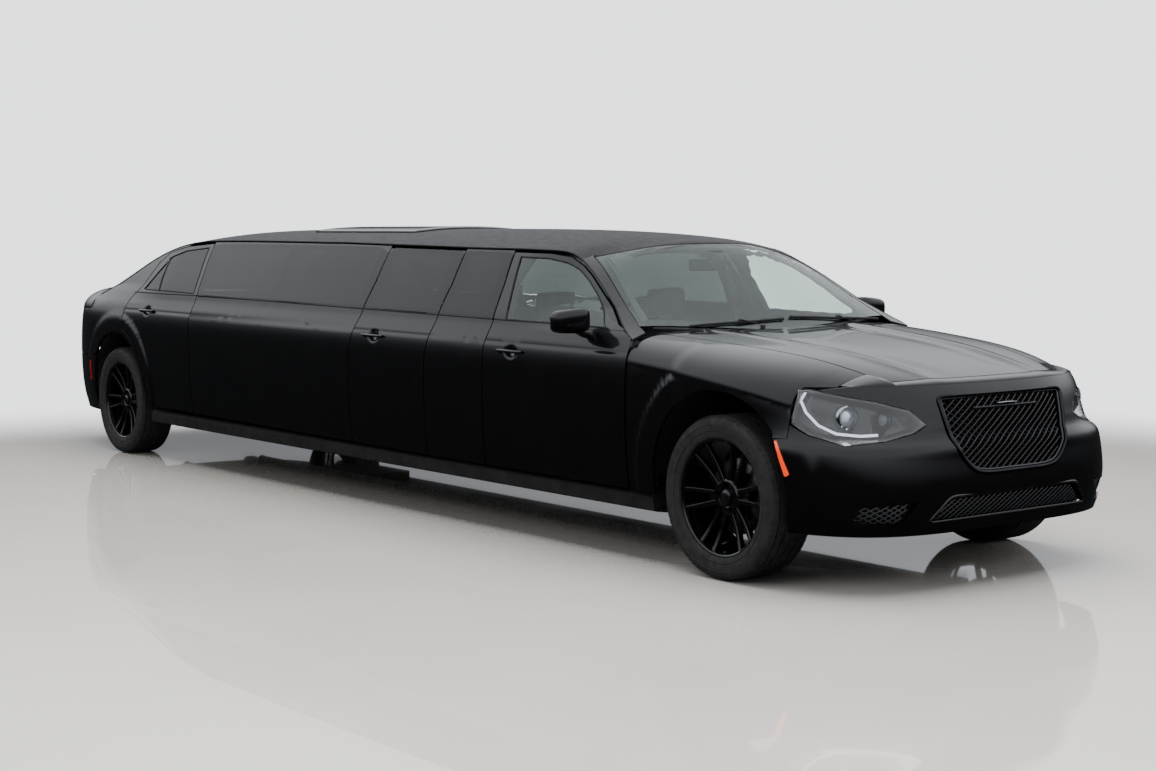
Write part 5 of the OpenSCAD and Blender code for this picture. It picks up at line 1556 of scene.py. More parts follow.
# ---------------------------------------------------------------- tail lamps, reflectors and plate
def tail_lamp_maker(word, side):
    def s(y, z):
        return float(ring_s_of_y(y, z, True))
    line = [(s(642, 700), 700), (s(642, 898), 898), (s(720, 928), 928)]
    line += [(s_of_x(RX - 866, 928, True), 928), (s_of_x(RX - 866, 820, True), 820), (s_of_x(RX - 866, 700,
            True), 700)]
    slab("tail_lens_" + word, on_tail, soft_ring_corners(line, 12, 3), (1, 22), "car_body", RED,
         step=(.03, 24), side=side, edge=2, replaces=("tail_lamps",))
    inner = grow(line, -24)
    ring = on_line(on_tail, inner, 2, side)
    fresh("tail_guide_" + word, tube_shape(ring, 5, 8, closed=True, up=(1, 0, 0)), "car_body",
          GUIDE)
    # Red reflector low on the bumper, behind the wheel
    mark = [(s_of_x(RX - 462, 600, True), 604), (s_of_x(RX - 486, 600, True), 604), (s_of_x(RX - 486, 470,
            True), 470), (s_of_x(RX - 468, 470, True), 470)]
    # The reflector's faint red glow is painted light, as it is no lamp
    slab("rear_marker_" + word, on_tail, mark, (-3, 3), "car_body", RED, step=(.02, 16),
         side=side, edge=1)
    # Exhaust tip: a rolled oval pipe end
    tip = spin_shape([(33, 0), (37, 0), (39, 60), (39, 150), (37, 150), (35, 60)], (RX - 1122, 615 * side,
            275), (1, 0, 0), 40)
    bmesh.ops.scale(tip, verts=tip.verts, vec=(1, 1, .8), space=Matrix.Translation((0, 0, -275 * MM)))
    fresh("exhaust_tip_" + word, tip, "car_body", CHROME)


tail_lamp_maker("left", 1)
tail_lamp_maker("right", -1)
plate_low, plate_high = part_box("plate_bracket")
px = plate_low.x / MM
pz = (plate_low.z + plate_high.z) / 2 / MM
plate = box_shape((3, 305, 152), (px - 2.5, 0, pz), 1.2, 2)
for y in (-89, 89):
    for z in (-60, 60):
        join_into(plate, rod_shape((px - 6, y, pz + z), (px - 2, y, pz + z), 5, 12))
fresh("number_plate", plate, "car_body", PLATE)
# Gloss black bar over the plate on the boot's tail
fresh("boot_bar", tube_shape([(tail_x(y, 800) - 3, y, 800) for y in np.linspace(-420, 420, 31)], 8, 10,
        flat=.9), "boot_lid", GLOSS_TRIM)


# ---------------------------------------------------------------- door handles, mirrors, seals, wipers
def handle_maker(name, body, x0, z0, side):
    y = float(side_y(x0, z0) + flare(x0, z0))
    ring = []
    for k in range(21):
        t = k / 20
        ring.append((x0 + 98 - 196 * t, (y + 4 + 17 * math.sin(math.pi * t) ** .5) * side, z0 + 2 + 4 * t))
    grip = tube_shape(ring, 13, 12, flat=.62)
    for vert in grip.verts:
        share = abs(vert.co.x / MM - x0) / 98
        vert.co.z = (z0 + 4) * MM + (vert.co.z - (z0 + 4) * MM) * (1 - .35 * share ** 4)
    fresh(name + "_handle", grip, body, PAINT)
    barrel = rod_shape((x0 - 86, (y - 4) * side, z0 + 3), (x0 - 86, (y + 9) * side, z0 + 3), 13, 20)
    fresh(name + "_handle_post", barrel, body, GLOSS_TRIM)


for name, body, where, side in (("front_left", "front_door_left", 0, 1), ("front_right", "front_door_right",
        0, -1), ("mid_right", "mid_door_right", 1, -1), ("rear_left", "rear_door_left", 2, 1),
        ("rear_right", "rear_door_right", 2, -1)):
    handle_maker(name, body, HANDLES[where][1], HANDLES[where][2], side)


def mirror_maker(word, side):
    """Door mirror: a rounded shell with the glass set in its rear face, on a short foot."""
    body = "front_door_" + word
    c = Vector((FX - 965, 985 * side, 1083))
    shell_bm = bmesh.new()
    bmesh.ops.create_cube(shell_bm, size=2)
    bmesh.ops.subdivide_edges(shell_bm, edges=shell_bm.edges[:], cuts=5, use_grid_fill=True)
    for vert in shell_bm.verts:
        x, y, z = vert.co
        power = 4.2
        size = (abs(x) ** power + abs(y) ** power + abs(z) ** power) ** (1 / power)
        x, y, z = x / size, y / size, z / size
        # Fuller at the outer end, flat at the back, rounded to the front
        depth = 62 * (x if x > 0 else x * .55)
        wide = 93 * y
        tall = 58 * z * (1 - .10 * y * side) - 4 * y * side
        vert.co = (c + Vector((depth - 10 + 6 * y * side * -1, wide, tall))) * MM
    bmesh.ops.recalc_face_normals(shell_bm, faces=shell_bm.faces)
    fresh("mirror_shell_" + word, shell_bm, body, PAINT, sharp=80)
    glass = bmesh.new()
    bmesh.ops.create_cube(glass, size=2)
    bmesh.ops.bevel(glass, geom=[e for e in glass.edges if abs(e.verts[0].co.x - e.verts[1].co.x) > 1],
                    offset=.5, offset_type="OFFSET", segments=4, profile=.5, affect="EDGES", material=-1)
    bmesh.ops.scale(glass, verts=glass.verts, vec=(2 * MM, 78 * MM, 44 * MM))
    bmesh.ops.translate(glass, verts=glass.verts, vec=(c + Vector((-44, 0, 0))) * MM)
    fresh("mirror_glass_" + word, glass, body, MIRROR)
    y0 = float(side_y(FX - 950, 1010))
    foot = tube_shape([(FX - 925, (y0 - 14) * side, 1018), (FX - 935, (y0 + 30) * side, 1030),
                       (FX - 950, (y0 + 66) * side, 1052), (FX - 958, (y0 + 92) * side, 1070)], 24, 14,
                       flat=.6, up=(1, 0, 0))
    fresh("mirror_foot_" + word, foot, body, GLOSS_TRIM)
    # Black gusset in the window's front corner
    gusset = [(FX - 690, 1046), (FX - 836, 1044), (FX - 905, COWL + CABIN * .19)]
    slab("mirror_gusset_" + word, on_flank, gusset, (-2, 4), body, GLOSS_TRIM, step=20,
         side=side, edge=1)


mirror_maker("left", 1)
mirror_maker("right", -1)


def seal(name, outline, body, side, lift=-1, radius=4.5, surface=on_flank):
    line = dense(outline, 40)
    fresh(name, tube_shape(on_line(surface, line, lift, side), radius, 6, closed=True, up=(0, 1, .3)), body,
          SEAL)


for word, side in (("left", 1), ("right", -1)):
    seal("front_window_seal_" + word, inset(FRONT_WINDOW, 1), "front_door_" + word, side)
    seal("rear_window_seal_" + word, inset(REAR_WINDOW, 1), "rear_door_" + word, side)
    # Division bar of the rear door's glass
    bar_line = [(RX + 500 + 0, 1108), (RX + 468, COWL + CABIN * .4), (RX + 478, COWL + CABIN * .61)]
    bar_line = [(RX + 520, 1108), (RX + 486, COWL + CABIN * .36), (RX + 476, COWL + CABIN * .625)]
    fresh("rear_division_bar_" + word, tube_shape(on_line(on_flank, bar_line, -1, side), 9, 8, flat=.8,
            up=(0, 1, .2)), "rear_door_" + word, GLOSS_TRIM)

# Belt mouldings and the drip line under the roof's edge
BELTS = [("front", FX - 850, FX - 1722, "front_door_", (1, -1)), ("rear", RX + 1086, RX + 150, "rear_door_",
        (1, -1)), ("mid", FX - 2238, FX - 2975, "mid_door_", (-1,))]
for label, a, b, body, sides in BELTS:
    for side in sides:
        word = "left" if side == 1 else "right"
        line = [(x, float(belt(x)) + 1) for x in np.linspace(a, b, 16)]
        fresh(label + "_belt_" + word, tube_shape(on_line(on_flank, line, -.6, side), 4, 6), body + word,
              SEAL)
for label, a, b, side in (("short_belt_right", FX - 1737, FX - 2222, -1), ("long_belt_right", FX - 2988,
        RX + 1098, -1), ("long_belt_left", FX - 1737, RX + 1098, 1)):
    line = [(x, float(belt(x)) + 1) for x in np.linspace(a, b, 40)]
    fresh(label, tube_shape(on_line(on_flank, line, -.6, side), 4, 6), "car_body", SEAL)


def on_rail(x, drop, out, side):
    y = float(rail_y(np.array([x]))[0])
    return (x, (y + out) * side, float(rail_z(np.array([x]))[0]) - drop)


for word, side in (("left", 1), ("right", -1)):
    line = [on_rail(x, 2, .6, side) for x in np.linspace(FX - 640, RX - 430, 130)]
    fresh("drip_line_" + word, tube_shape(line, 4.2, 6), "car_body", SEAL)


def wiper_maker(name, points, base):
    """Wiper: arm with a hinge cap, and a thin blade that lies on the glass."""
    glass_line = []
    for x, y in points:
        glass_line.append((x, y, float(cab_z(np.array([x]), np.array([y]))[0]) + 7))
    bm = tube_shape(glass_line, 5, 8, flat=1.3)
    bx, by = base
    bz = float(hood_z(np.array([bx + 60.0]), np.array([by]))[0]) + 6
    mid = glass_line[len(glass_line) // 2]
    arm = tube_shape([(bx, by, bz), (bx - 25, by + (mid[1] - by) * .12, bz + 14), (mid[0] + 2,
            mid[1] + (by - mid[1]) * .1, mid[2] + 13), (mid[0], mid[1], mid[2] + 9)], 6.5, 8, flat=.7)
    join_into(bm, arm)
    cap = rod_shape((bx, by, bz - 22), (bx, by, bz + 10), 13, 20, 11)
    join_into(bm, cap)
    fresh(name, bm, "car_body", PLASTIC)


wiper_maker("wiper_left", [(FX - 618 - 20 * abs(k - .5), 700 - 610 * k) for k in np.linspace(0, 1, 9)],
            (FX - 606, 500))
wiper_maker("wiper_right", [(FX - 612 - 16 * abs(k - .4), 40 - 590 * k) for k in np.linspace(0, 1, 9)],
            (FX - 590, -120))
# Cowl cover between hood and windscreen
def on_cowl(u, v, d):
    x = u
    z = cab_z(np.minimum(x, FX - 575), v) - 9 - d
    z = np.where(x > FX - 590, np.minimum(z, hood_z(x, v) - 22 - d), z)
    return np.stack([x, v, z], 1)


cowl_line = [(FX - 560 - 112 * k * k, k * 728) for k in np.linspace(-1, 1, 17)]
cowl_line += [(FX - 618 - 112 * k * k, k * 728) for k in np.linspace(1, -1, 17)]
slab("cowl_cover", on_cowl, cowl_line, (0, 6), "car_body", PLASTIC, step=(20, 50), edge=1,
     lay=False)

# Frit round the windscreen and the rear window
for name, plan_of in (("windscreen_frit", windscreen_plan), ("rear_frit", rear_window_plan)):
    slab(name, on_cab, plan_of(5), (7.2, 8.2), "car_body", FRIT, holes=(plan_of(38),),
         step=(30, 40), edge=0, lay=False)


# ---------------------------------------------------------------- wheels
def tyre_maker(name, x, side, body, node):
    """Tyre: spun sidewall with raised rings, and tread ribs cut into blocks."""
    half = 122.5
    out = [(RIM_R + 1, half - 20), (RIM_R + 4, half - 13), (RIM_R + 12, half - 8), (RIM_R + 26, half - 5),
           (RIM_R + 28, half - 6.5), (RIM_R + 31, half - 6.5), (RIM_R + 33, half - 3),
           (RIM_R + 52, half - 1), (RIM_R + 54, half - 2), (RIM_R + 57, half - 2), (RIM_R + 59, half - .5),
           (TYRE_R - 30, half - 1.5), (TYRE_R - 20, half - 5), (TYRE_R - 12, half - 11),
           (TYRE_R - 5, half - 20), (TYRE_R - 2.5, half - 28)]
    tread = []
    for centre in (84, 42, 0):
        tread += [(TYRE_R - (1.6 if centre == 84 else 0), centre + 4), (TYRE_R - 8, centre + 3.5)]
        if centre:
            tread += [(TYRE_R - 8, centre - 3.5), (TYRE_R - .6, centre - 4)]
    left = out + tread
    profile = left + [(r, -h) for r, h in reversed(left)]
    centre = (x, WHEEL_Y * side, HUB_Z)
    bm = spin_shape(profile, centre, (0, side, 0), 120)
    # Sipes: fine notches across the outer ribs, drawn as thin raised shoulder blocks
    blocks = bmesh.new()
    count = 76
    for edge in (1, -1):
        for k in range(count):
            a = math.tau * k / count
            block = box_shape((21, 22, 3), (0, edge * 101, TYRE_R - 5.6), 0)
            bmesh.ops.rotate(block, verts=block.verts, cent=(0, edge * 101 * MM, (TYRE_R - 5.6) * MM),
                    matrix=Matrix.Rotation(math.radians(-24 * edge), 3, "X"))
            turn = Matrix.Translation(Vector(centre) * MM) @ Matrix.Rotation(a, 4, "Y")
            join_into(blocks, block, turn)
    join_into(bm, blocks)
    fresh(name, bm, body, RUBBER, replaces=(node,), sharp=32)


def rounded_bar(a, b, wide, tall):
    """Cast spoke between two places of (radius, out): wide at the hub, rounded over."""
    bm = bmesh.new()
    bmesh.ops.create_cube(bm, size=1)
    for vert in bm.verts:
        end = b if vert.co.x > 0 else a
        width = wide[1] if vert.co.x > 0 else wide[0]
        deep = tall[1] if vert.co.x > 0 else tall[0]
        vert.co = Vector((end[0], vert.co.y * width, end[1] - (deep if vert.co.z < 0 else 0)))
    bmesh.ops.subdivide_edges(bm, edges=[e for e in bm.edges
            if abs(e.verts[0].co.x - e.verts[1].co.x) > 20], cuts=5)
    for vert in bm.verts:
        t = (vert.co.x - a[0]) / (b[0] - a[0])
        # The face dips between hub and rim, and the spoke bows
        vert.co.z -= 9 * math.sin(math.pi * unit(t))
    bmesh.ops.bevel(bm, geom=[e for e in bm.edges if abs(e.verts[0].co.x - e.verts[1].co.x) > 4],
                    offset=3.2, offset_type="OFFSET", segments=3, profile=.5, affect="EDGES", material=-1,
                    clamp_overlap=True)
    bmesh.ops.scale(bm, verts=bm.verts, vec=(MM, MM, MM))
    return bm


def rim_maker(name, x, side, body, node):
    """Cast wheel: barrel, lip, six pairs of split spokes, hub, blank cap and five nuts."""
    centre = Vector((x, WHEEL_Y * side, HUB_Z))
    out = Vector((0, side, 0))
    barrel = [(RIM_R - 20, -98), (RIM_R - 2, -98), (RIM_R + 6, -94), (RIM_R + 6, -86), (RIM_R - 1, -80),
              (RIM_R - 3, 84), (RIM_R + 6, 90), (RIM_R + 7, 97), (RIM_R + 4, 101), (RIM_R - 4, 102),
              (RIM_R - 10, 98), (RIM_R - 13, 88), (RIM_R - 16, 60), (RIM_R - 26, -60)]
    bm = spin_shape(barrel, centre, out, 96)
    hub = spin_shape([(0, 36), (76, 36), (80, 50), (78, 62), (70, 68), (46, 67), (42, 60), (34, 60),
                      (32, 66), (0, 68)], centre, out, 64)
    join_into(bm, hub)
    # Local frame: x outwards along the spoke, z out of the wheel
    stand = Matrix(((1, 0, 0), (0, 0, side), (0, 1, 0))).to_4x4()
    for k in range(6):
        for s in (-1, 1):
            spoke = rounded_bar((62, 64), (RIM_R - 10, 92), (22, 19), (34, 26))
            bmesh.ops.rotate(spoke, verts=spoke.verts, cent=(50 * MM, 0, 0),
                    matrix=Matrix.Rotation(math.radians(7.5 * s), 3, "Z"))
            bmesh.ops.translate(spoke, verts=spoke.verts, vec=(0, 17 * s * MM, 0))
            turn = Matrix.Translation(centre * MM) @ stand @ Matrix.Rotation(math.tau * k / 6 + .12, 4, "Z")
            join_into(bm, spoke, turn)
        web = box_shape((72, 30, 16), (92, 0, 42), 3, 2)
        join_into(bm, web, Matrix.Translation(centre * MM) @ stand @ Matrix.Rotation(math.tau * k / 6 + .12,
                4, "Z"))
    bmesh.ops.recalc_face_normals(bm, faces=bm.faces)
    fresh(name, bm, body, WHEEL, replaces=(node,), sharp=38)
    nuts = bmesh.new()
    for k in range(5):
        a = math.tau * k / 5 + .3
        spot = centre + Vector((math.cos(a) * 57, 0, math.sin(a) * 57))
        nut = rod_shape(spot + out * 52, spot + out * 78, 10, 6, 8.5)
        join_into(nuts, nut)
    fresh(name + "_nuts", nuts, body, DARK_CHROME, sharp=30)
    cap = spin_shape([(0, 64), (31, 64), (31, 69), (27, 72), (12, 74), (0, 74.5)], centre, out, 48)
    fresh(name + "_cap", cap, body, GLOSS_TRIM)
    valve = rod_shape(centre + Vector((RIM_R - 24, 0, 0)) + out * 84, centre + Vector((RIM_R - 40, 0,
            0)) + out * 104, 4, 10)
    fresh(name + "_valve", valve, body, SEAL)
    disc = spin_shape([(60, -20), (166, -20), (168, -18), (168, -11), (164, -9), (164, -3), (168, -1),
                       (168, 6), (166, 8), (96, 8), (92, 22), (60, 22)], centre, out, 72)
    fresh(name + "_disc", disc, body, DISC)


for word, side in (("left", 1), ("right", -1)):
    tyre_maker("tyre_skin_front_" + word, FX, side, "wheel_front_" + word, "tyre_front_" + word)
    tyre_maker("tyre_skin_rear_" + word, RX, side, "wheel_rear_" + word, "tyre_rear_" + word)
    rim_maker("rim_skin_front_" + word, FX, side, "wheel_front_" + word, "rim_front_" + word)
    rim_maker("rim_skin_rear_" + word, RX, side, "wheel_rear_" + word, "rim_rear_" + word)
    # Wheel housings: dull black liners over each wheel
    for end, x in (("front", FX), ("rear", RX)):
        a_list = [math.radians(a) for a in range(4, 181, 8)]
        reach = ARCH_R + (42 if end == "front" else 6)
        row = [(x + reach * math.cos(a), ARCH_Z + reach * math.sin(a)) for a in a_list]
        inner_y = 560 if end == "front" else 690
        outer = []
        for px_, pz_ in row:
            edge = float(side_y(px_, pz_)) - 14
            outer.append((px_, edge * side, pz_))
        inner = [(px_, inner_y * side, pz_) for px_, pz_ in row]
        bm = grid_strip(outer, inner)
        bmesh.ops.solidify(bm, geom=bm.faces[:], thickness=2 * MM)
        bmesh.ops.recalc_face_normals(bm, faces=bm.faces)
        fresh("arch_liner_" + end + "_" + word, bm, "car_body", PLASTIC)


# ---------------------------------------------------------------- cabin
def prism(points, y_low, y_high, radius=10, segments=3):
    """Side outline drawn out across the car, with rounded edges."""
    bm = bmesh.new()
    ring = [bm.verts.new(Vector((x, y_low, z)) * MM) for x, z in points]
    face = bm.faces.new(ring)
    grown = bmesh.ops.extrude_face_region(bm, geom=[face], use_keep_orig=True)
    verts = [g for g in grown["geom"] if isinstance(g, bmesh.types.BMVert)]
    bmesh.ops.translate(bm, verts=verts, vec=(0, (y_high - y_low) * MM, 0))
    bmesh.ops.recalc_face_normals(bm, faces=bm.faces)
    if radius:
        bmesh.ops.bevel(bm, geom=bm.edges[:], offset=radius * MM, offset_type="OFFSET", segments=segments,
                        profile=.5, affect="EDGES", material=-1, clamp_overlap=True)
    return bm


def cushion(name, points, y_low, y_high, body, crown=10, channels=(), replaces=()):
    """Padded cushion: a boxed outline whose faces swell between pulled-in seams."""
    bm = prism(points, y_low, y_high, 0)
    bmesh.ops.triangulate(bm, faces=[f for f in bm.faces if len(f.verts) > 4])
    mesh = bpy.data.meshes.new(name)
    bm.to_mesh(mesh)
    bm.free()
    piece = bpy.data.objects.new(name, mesh)
    bpy.context.collection.objects.link(piece)
    remesh = piece.modifiers.new("remesh", "REMESH")
    remesh.mode = "VOXEL"
    remesh.voxel_size = .012
    relax = piece.modifiers.new("relax", "SMOOTH")
    relax.factor = .6
    relax.iterations = 14
    depsgraph = bpy.context.evaluated_depsgraph_get()
    made = bpy.data.meshes.new_from_object(piece.evaluated_get(depsgraph))
    piece.modifiers.clear()
    piece.data = made
    # Pull the seams in: shallow valleys across the width and at the stated channels
    size = len(made.vertices)
    co = np.zeros(size * 3, np.float32)
    made.vertices.foreach_get("co", co)
    co = co.reshape(-1, 3)
    normal = np.zeros(size * 3, np.float32)
    made.vertices.foreach_get("normal", normal)
    normal = normal.reshape(-1, 3)
    y = co[:, 1] / MM
    half = (y_high - y_low) / 2
    share = (y - (y_low + y_high) / 2) / half
    swell = crown * .55 * (1 - share ** 2)
    dip = np.zeros(size)
    for line in channels:
        dip += 7 * np.exp(-((y - line) / 7) ** 2)
    flat = np.abs(normal[:, 1]) < .5
    co += normal * ((swell - dip) * flat * MM * .9)[:, None]
    made.vertices.foreach_set("co", co.reshape(-1))
    made.update()
    for polygon in made.polygons:
        polygon.use_smooth = True
    made.materials.clear()
    made.materials.append(LEATHER)
    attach(piece, body)
    if replaces:
        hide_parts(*replaces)
    return piece


FLOOR_TOP = 251
SEAT_X = FX - 1300
for word, side in (("left", 1), ("right", -1)):
    a, b = (155, 595) if side == 1 else (-595, -155)
    middle_y = (a + b) / 2
    seat_cushion = [(SEAT_X - 6, 330), (SEAT_X - 4, 476), (SEAT_X - 60, 508), (SEAT_X - 430, 488),
                    (SEAT_X - 520, 470), (SEAT_X - 520, 330)]
    cushion("front_seat_cushion_" + word, seat_cushion, a, b, "car_body", 12, (a + 90, b - 90),
            replaces=("front_seats",))
    back = [(SEAT_X - 442, 506), (SEAT_X - 566, 972), (SEAT_X - 640, 960), (SEAT_X - 574, 480)]
    cushion("front_seat_back_" + word, back, a, b, "car_body", 14, (a + 90, b - 90))
    head = [(SEAT_X - 560, 1024), (SEAT_X - 570, 1172), (SEAT_X - 606, 1182), (SEAT_X - 640, 1060),
            (SEAT_X - 630, 1020)]
    cushion("front_headrest_" + word, head, middle_y - 128, middle_y + 128, "car_body", 10)
    posts = bmesh.new()
    for y in (-60, 60):
        join_into(posts, rod_shape((SEAT_X - 606, middle_y + y, 940), (SEAT_X - 606, middle_y + y, 1040),
                6))
    fresh("headrest_posts_" + word, posts, "car_body", CHROME)
    base = box_shape((440, 400, 78), (SEAT_X - 270, middle_y, FLOOR_TOP + 40), 10, 3)
    fresh("seat_base_" + word, base, "car_body", DASH)

# Lounge: rear seat across the car and the long bench on the left
LX = RX + 620
rear_cushion = [(LX - 4, 420), (LX, 545), (LX - 26, 590), (LX - 470, 570), (LX - 474, 508), (LX - 186, 508),
                (LX - 186, 420)]
cushion("lounge_cushion", rear_cushion, -640, 640, "car_body", 12, (-214, 214), replaces=("lounge_seats",))
rear_back = [(LX - 484, 580), (LX - 636, 1050), (LX - 700, 1060), (LX - 704, 960), (LX - 572, 508),
             (LX - 490, 508)]
cushion("lounge_back", rear_back, -640, 640, "car_body", 12, (-430, -214, 0, 214, 430))
BENCH_A = LX + 165
BENCH_B = FX - 2505
count = 4
long = (BENCH_B - BENCH_A) / count
for k in range(count):
    x0 = BENCH_A + k * long
    seat = box_shape((long - 6, 392, 120), (x0 + long / 2, 545, 438), 34, 5)
    bmesh.ops.subdivide_edges(seat, edges=[e for e in seat.edges if e.calc_length() > .1], cuts=6,
            use_grid_fill=True)
    name = "bench_cushion_%d" % (k + 1)
    for vert in seat.verts:
        u = (vert.co.x / MM - x0 - long / 2) / (long / 2)
        w = (vert.co.y / MM - 545) / 196
        vert.co.z += 9 * MM * max(0, 1 - u * u) * max(0, 1 - w * w) * (1 if vert.co.z / MM > 438 else 0)
    piece = fresh(name, seat, "car_body", LEATHER, sharp=80)
    rest_pad = box_shape((long - 6, 78, 400), (x0 + long / 2, 702, 715), 34, 5)
    piece = fresh("bench_back_%d" % (k + 1), rest_pad, "car_body", LEATHER, sharp=80)
fresh("bench_base", box_shape((BENCH_B - BENCH_A, 380, 122), ((BENCH_A + BENCH_B) / 2, 550, FLOOR_TOP + 62),
        6, 2), "car_body", DASH)

# Dashboard: padded top, face with vents, instrument hood and centre stack
dash = prism([(FX - 646, 562), (FX - 646, 895), (FX - 780, 930), (FX - 956, 920), (FX - 1004, 850),
              (FX - 930, 702), (FX - 902, 562)], -698, 698, 16, 3)
fresh("dash_body", dash, "car_body", DASH, replaces=("dashboard",))
hump = prism([(FX - 850, 915), (FX - 870, 972), (FX - 960, 978), (FX - 1012, 940), (FX - 1000, 900)], 210,
             540, 18, 3)
fresh("instrument_hood", hump, "car_body", DASH)
stack = prism([(FX - 985, 880), (FX - 1010, 850), (FX - 930, 600), (FX - 890, 600)], -150, 150, 8, 3)
fresh("centre_stack", stack, "car_body", GLOSS_TRIM)
vents = bmesh.new()
for y in (-610, -110, 110, 610):
    for k in range(5):
        join_into(vents, box_shape((6, 96, 3), (FX - 1002 + 4 * k, y, 868 - 9 * k), .8, 1))
fresh("dash_vents", vents, "car_body", CHROME)
screen = prism([(FX - 1008, 856), (FX - 1000, 858), (FX - 962, 730), (FX - 970, 728)], -104, 104, 2, 2)
fresh("dash_screen", screen, "car_body", GLOSS_TRIM)
console = prism([(FX - 900, 300), (FX - 900, 600), (FX - 1060, 470), (FX - 1700, 450), (FX - 1760, 300)],
                -112, 112, 18, 3)
fresh("centre_console", console, "car_body", DASH)
# Steering wheel: grained rim, hub pad with a bright ring, and three spokes
column = Vector((FX - 1130, 375, 860))
a = math.radians(68)
axis = Vector((-math.sin(a), 0, math.cos(a)))
wheel = spin_shape([(175 + 14 * math.cos(t), 14 * math.sin(t)) for t in [math.tau * k / 16
        for k in range(16)]], column, axis, 72)
across_way = Vector((0, 1, 0))
down = axis.cross(across_way).normalized()
if down.z > 0:
    down = -down
for way, wide in ((across_way, 17), (-across_way, 17), (down, 15)):
    p0 = column + way * 30 - axis * 12
    p1 = column + way * 100 - axis * 8
    p2 = column + way * 168
    join_into(wheel, tube_shape([p0, p1, p2], wide, 10, flat=.45, up=axis))
fresh("steering_rim", wheel, "steering_wheel", DASH, replaces=("steering_wheel",))
pad = spin_shape([(0, -34), (44, -34), (60, -22), (64, -4), (56, 8), (30, 14), (0, 15)], column, axis, 48)
fresh("steering_pad", pad, "steering_wheel", DASH)
ring = spin_shape([(20, 14.6), (23, 14.4), (23, 16.4), (20, 16.6)], column, axis, 40)
fresh("steering_ring", ring, "steering_wheel", CHROME)
fresh("steering_column", tube_shape([column - axis * 46, column - axis * 150, column - axis * 230], 36, 20),
      "car_body", DASH)

# Partition with its window frame, bar cabinet with its wells, carpet and headlining
PX = FX - 2080


def on_wall(u, v, d):
    return np.stack([np.full(len(u), PX) - d, u, v], 1)


wall_line = [(-686, 252), (-686, 1040), (-650, 1106), (650, 1106), (686, 1040), (686, 252), (128, 252),
             (128, 414), (-128, 414), (-128, 252)]
slab("partition_wall", on_wall, wall_line, (0, 40), "car_body", CLOTH, holes=([(-440, 762),
        (-440, 1018), (440, 1018), (440, 762)],), step=80, edge=4, lay=False, replaces=("partition",))
frame_line = [(PX - 20, y, z) for y, z in soft_corners([(-436, 766), (-436, 1014), (436, 1014), (436, 766)],
        14, 4)]
fresh("partition_frame", tube_shape(frame_line, 9, 8, closed=True, up=(1, 0, 0)), "car_body",
      DARK_CHROME)
BAR_A = RX + 1350
BAR_B = FX - 3300
wells = []
well = (BAR_B - BAR_A - 40) / 3
for k in range(3):
    x0 = BAR_A + 50 + k * well
    wells.append([(x0, -710), (x0 + well - 60, -710), (x0 + well - 60, -470), (x0, -470)])


def on_top(u, v, d):
    return np.stack([u, v, np.full(len(u), 771.0) - d], 1)


bar_top = [(BAR_A, -740), (BAR_B, -740), (BAR_B, -440), (BAR_A, -440)]
slab("bar_top", on_top, bar_top, (0, 18), "car_body", WOOD, holes=wells, step=200, edge=2,
     lay=False, replaces=("bar_cabinet",))
front_panel = box_shape((BAR_B - BAR_A, 18, 500), ((BAR_A + BAR_B) / 2, -449, 502), 2, 2)
for k in range(6):
    wide = (BAR_B - BAR_A) / 6
    join_into(front_panel, box_shape((wide - 30, 6, 430), (BAR_A + wide * (k + .5), -438.5, 500), 2.5, 2))
join_into(front_panel, box_shape((18, 300, 500), (BAR_A + 9, -590, 502), 2, 2))
join_into(front_panel, box_shape((18, 300, 500), (BAR_B - 9, -590, 502), 2, 2))
join_into(front_panel, box_shape((BAR_B - BAR_A, 18, 500), ((BAR_A + BAR_B) / 2, -731, 502), 2, 2))
join_into(front_panel, box_shape((BAR_B - BAR_A - 20, 260, 14), ((BAR_A + BAR_B) / 2, -590, 624), 2, 2))
fresh("bar_body", front_panel, "car_body", WOOD)
trim_bm = bmesh.new()
for k in range(6):
    wide = (BAR_B - BAR_A) / 6
    join_into(trim_bm, rod_shape((BAR_A + wide * (k + .5) - 40, -434, 690), (BAR_A + wide * (k + .5) + 40,
            -434, 690), 5, 12))
fresh("bar_pulls", trim_bm, "car_body", CHROME)


# Carpet on the floor
def on_floor(u, v, d):
    return np.stack([u, v, np.full(len(u), FLOOR_TOP + 5.0) - d], 1)


for word, side in (("left", 1), ("right", -1)):
    slab("cabin_carpet_" + word, on_floor, [(RX + 470, 128), (FX - 660, 128), (FX - 660, 745),
            (RX + 470, 745)], (0, 4), "car_body", CARPET, step=300, side=side, edge=1.5,
            lay=False)


# Headlining under the roof, in front of and behind the hatch
def on_lining(u, v, d):
    return np.stack([u, v, cab_z(u, v) - 30 - 22 * (np.abs(v) / rail_y(u)) ** 3 - d], 1)


def lining_outline(a, b, share):
    xs = np.linspace(a, b, 40)
    return [(x, roof_half(x) * share) for x in xs] + [(x, -roof_half(x) * share) for x in reversed(xs)]


slab("headlining", on_lining, lining_outline(RX + 420, FX - 1290, .93), (0, 5), "car_body",
     LINING, step=(120, 60), edge=0, lay=False)
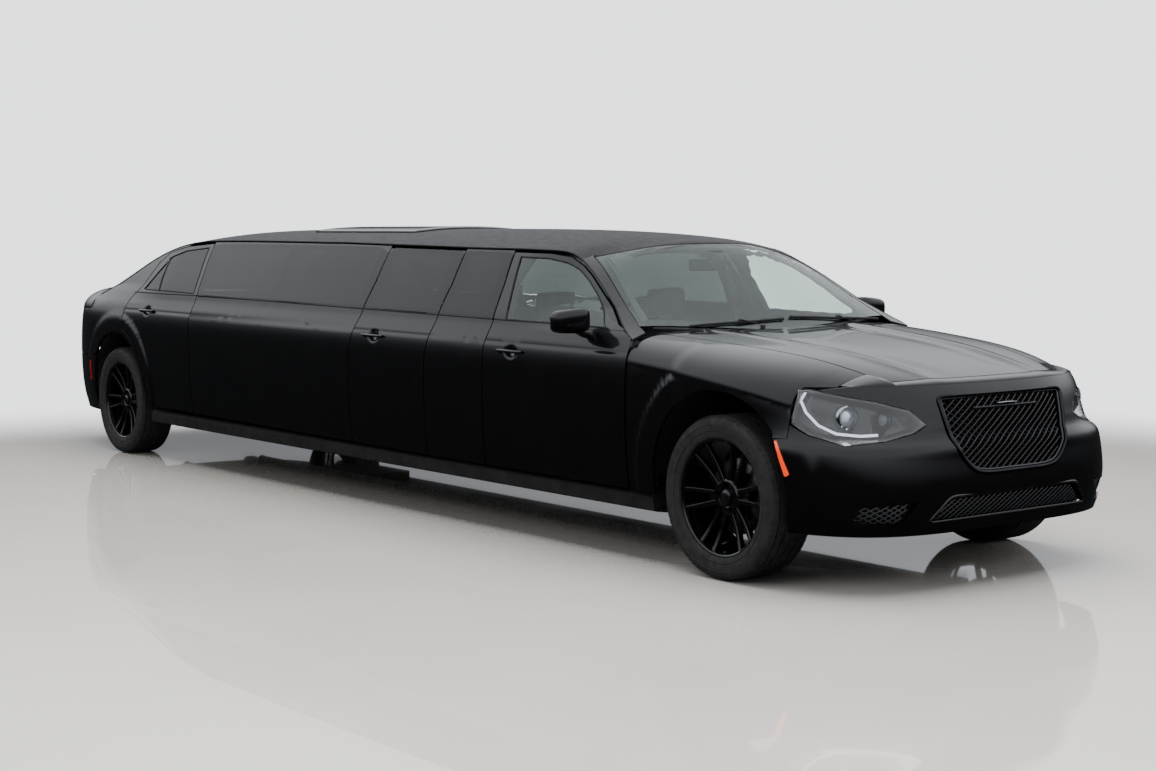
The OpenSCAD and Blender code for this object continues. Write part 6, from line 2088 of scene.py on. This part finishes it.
# Pale trim over the inside of the front pillars
for word, side in (("left", 1), ("right", -1)):
    line = []
    for k in range(13):
        t = k / 12
        x = FX - 735 - (1262 - 735) * t
        y = 722 - 150 * t
        line.append((x, y * side, float(cab_z(np.array([x]), np.array([y]))[0]) - 34))
    fresh("pillar_trim_" + word, tube_shape(line, 26, 10, flat=.6), "car_body", LINING)
    # Inner centre pillar behind the front door
    fresh("centre_pillar_" + word, tube_shape([(FX - 1760, 800 * side, 420), (FX - 1765, 812 * side, 900),
            (FX - 1785, 735 * side, 1180), (FX - 1800, 655 * side, 1370)], 42, 12, flat=.45, up=(0, 1, 0)),
            "car_body", LINING)
# Inner mirror and the sensor housing on the windscreen
mirror_z = float(cab_z(np.array([FX - 1085.0]), np.array([0.0]))[0])
housing = box_shape((90, 96, 34), (FX - 1098, 0, mirror_z - 34), 14, 4)
fresh("sensor_housing", housing, "car_body", PLASTIC)
inner_mirror = box_shape((26, 240, 62), (FX - 1150, 20, mirror_z - 88), 12, 4)
join_into(inner_mirror, rod_shape((FX - 1110, 0, mirror_z - 44), (FX - 1145, 16, mirror_z - 84), 9, 12))
fresh("inner_mirror", inner_mirror, "car_body", PLASTIC)
# Two small domes on the roof hatch's front edge, and its rim
domes = bmesh.new()
for y in (-150, 150):
    x = MID_X + 420
    z = float(cab_z(np.array([x]), np.array([float(y)]))[0])
    dome = ball_shape(34, 20)
    bmesh.ops.scale(dome, verts=dome.verts, vec=(1.6, 1, .25))
    join_into(domes, dome, Matrix.Translation(Vector((x, y, z + 2)) * MM))
fresh("hatch_domes", domes, "car_body", PLASTIC)
rim_line = [(x, y, float(cab_z(np.array([x]), np.array([y]))[0]) + 2) for x, y in dense(soft_corners(HATCH,
        50, 5), 60)]
fresh("hatch_rim", tube_shape(rim_line, 6, 8, closed=True), "car_body", SEAL)

# ---------------------------------------------------------------- finishes of the CAD's own parts
FINISHES = {"floor_pan": STEEL, "front_suspension": STEEL, "rear_suspension": STEEL, "engine_block": IRON,
            "driveline": IRON, "exhaust_system": EXHAUST, "fuel_tank": PLASTIC, "cowl_bulkhead": STEEL,
            "knuckle_left": IRON, "knuckle_right": IRON, "plate_bracket": PLASTIC}
for node_name, material in FINISHES.items():
    for made in bpy.data.objects:
        named = made.name == node_name or made.name.startswith((node_name + ".", node_name + "_solid"))
        if made.type == "MESH" and named:
            made.data.materials.clear()
            made.data.materials.append(material)
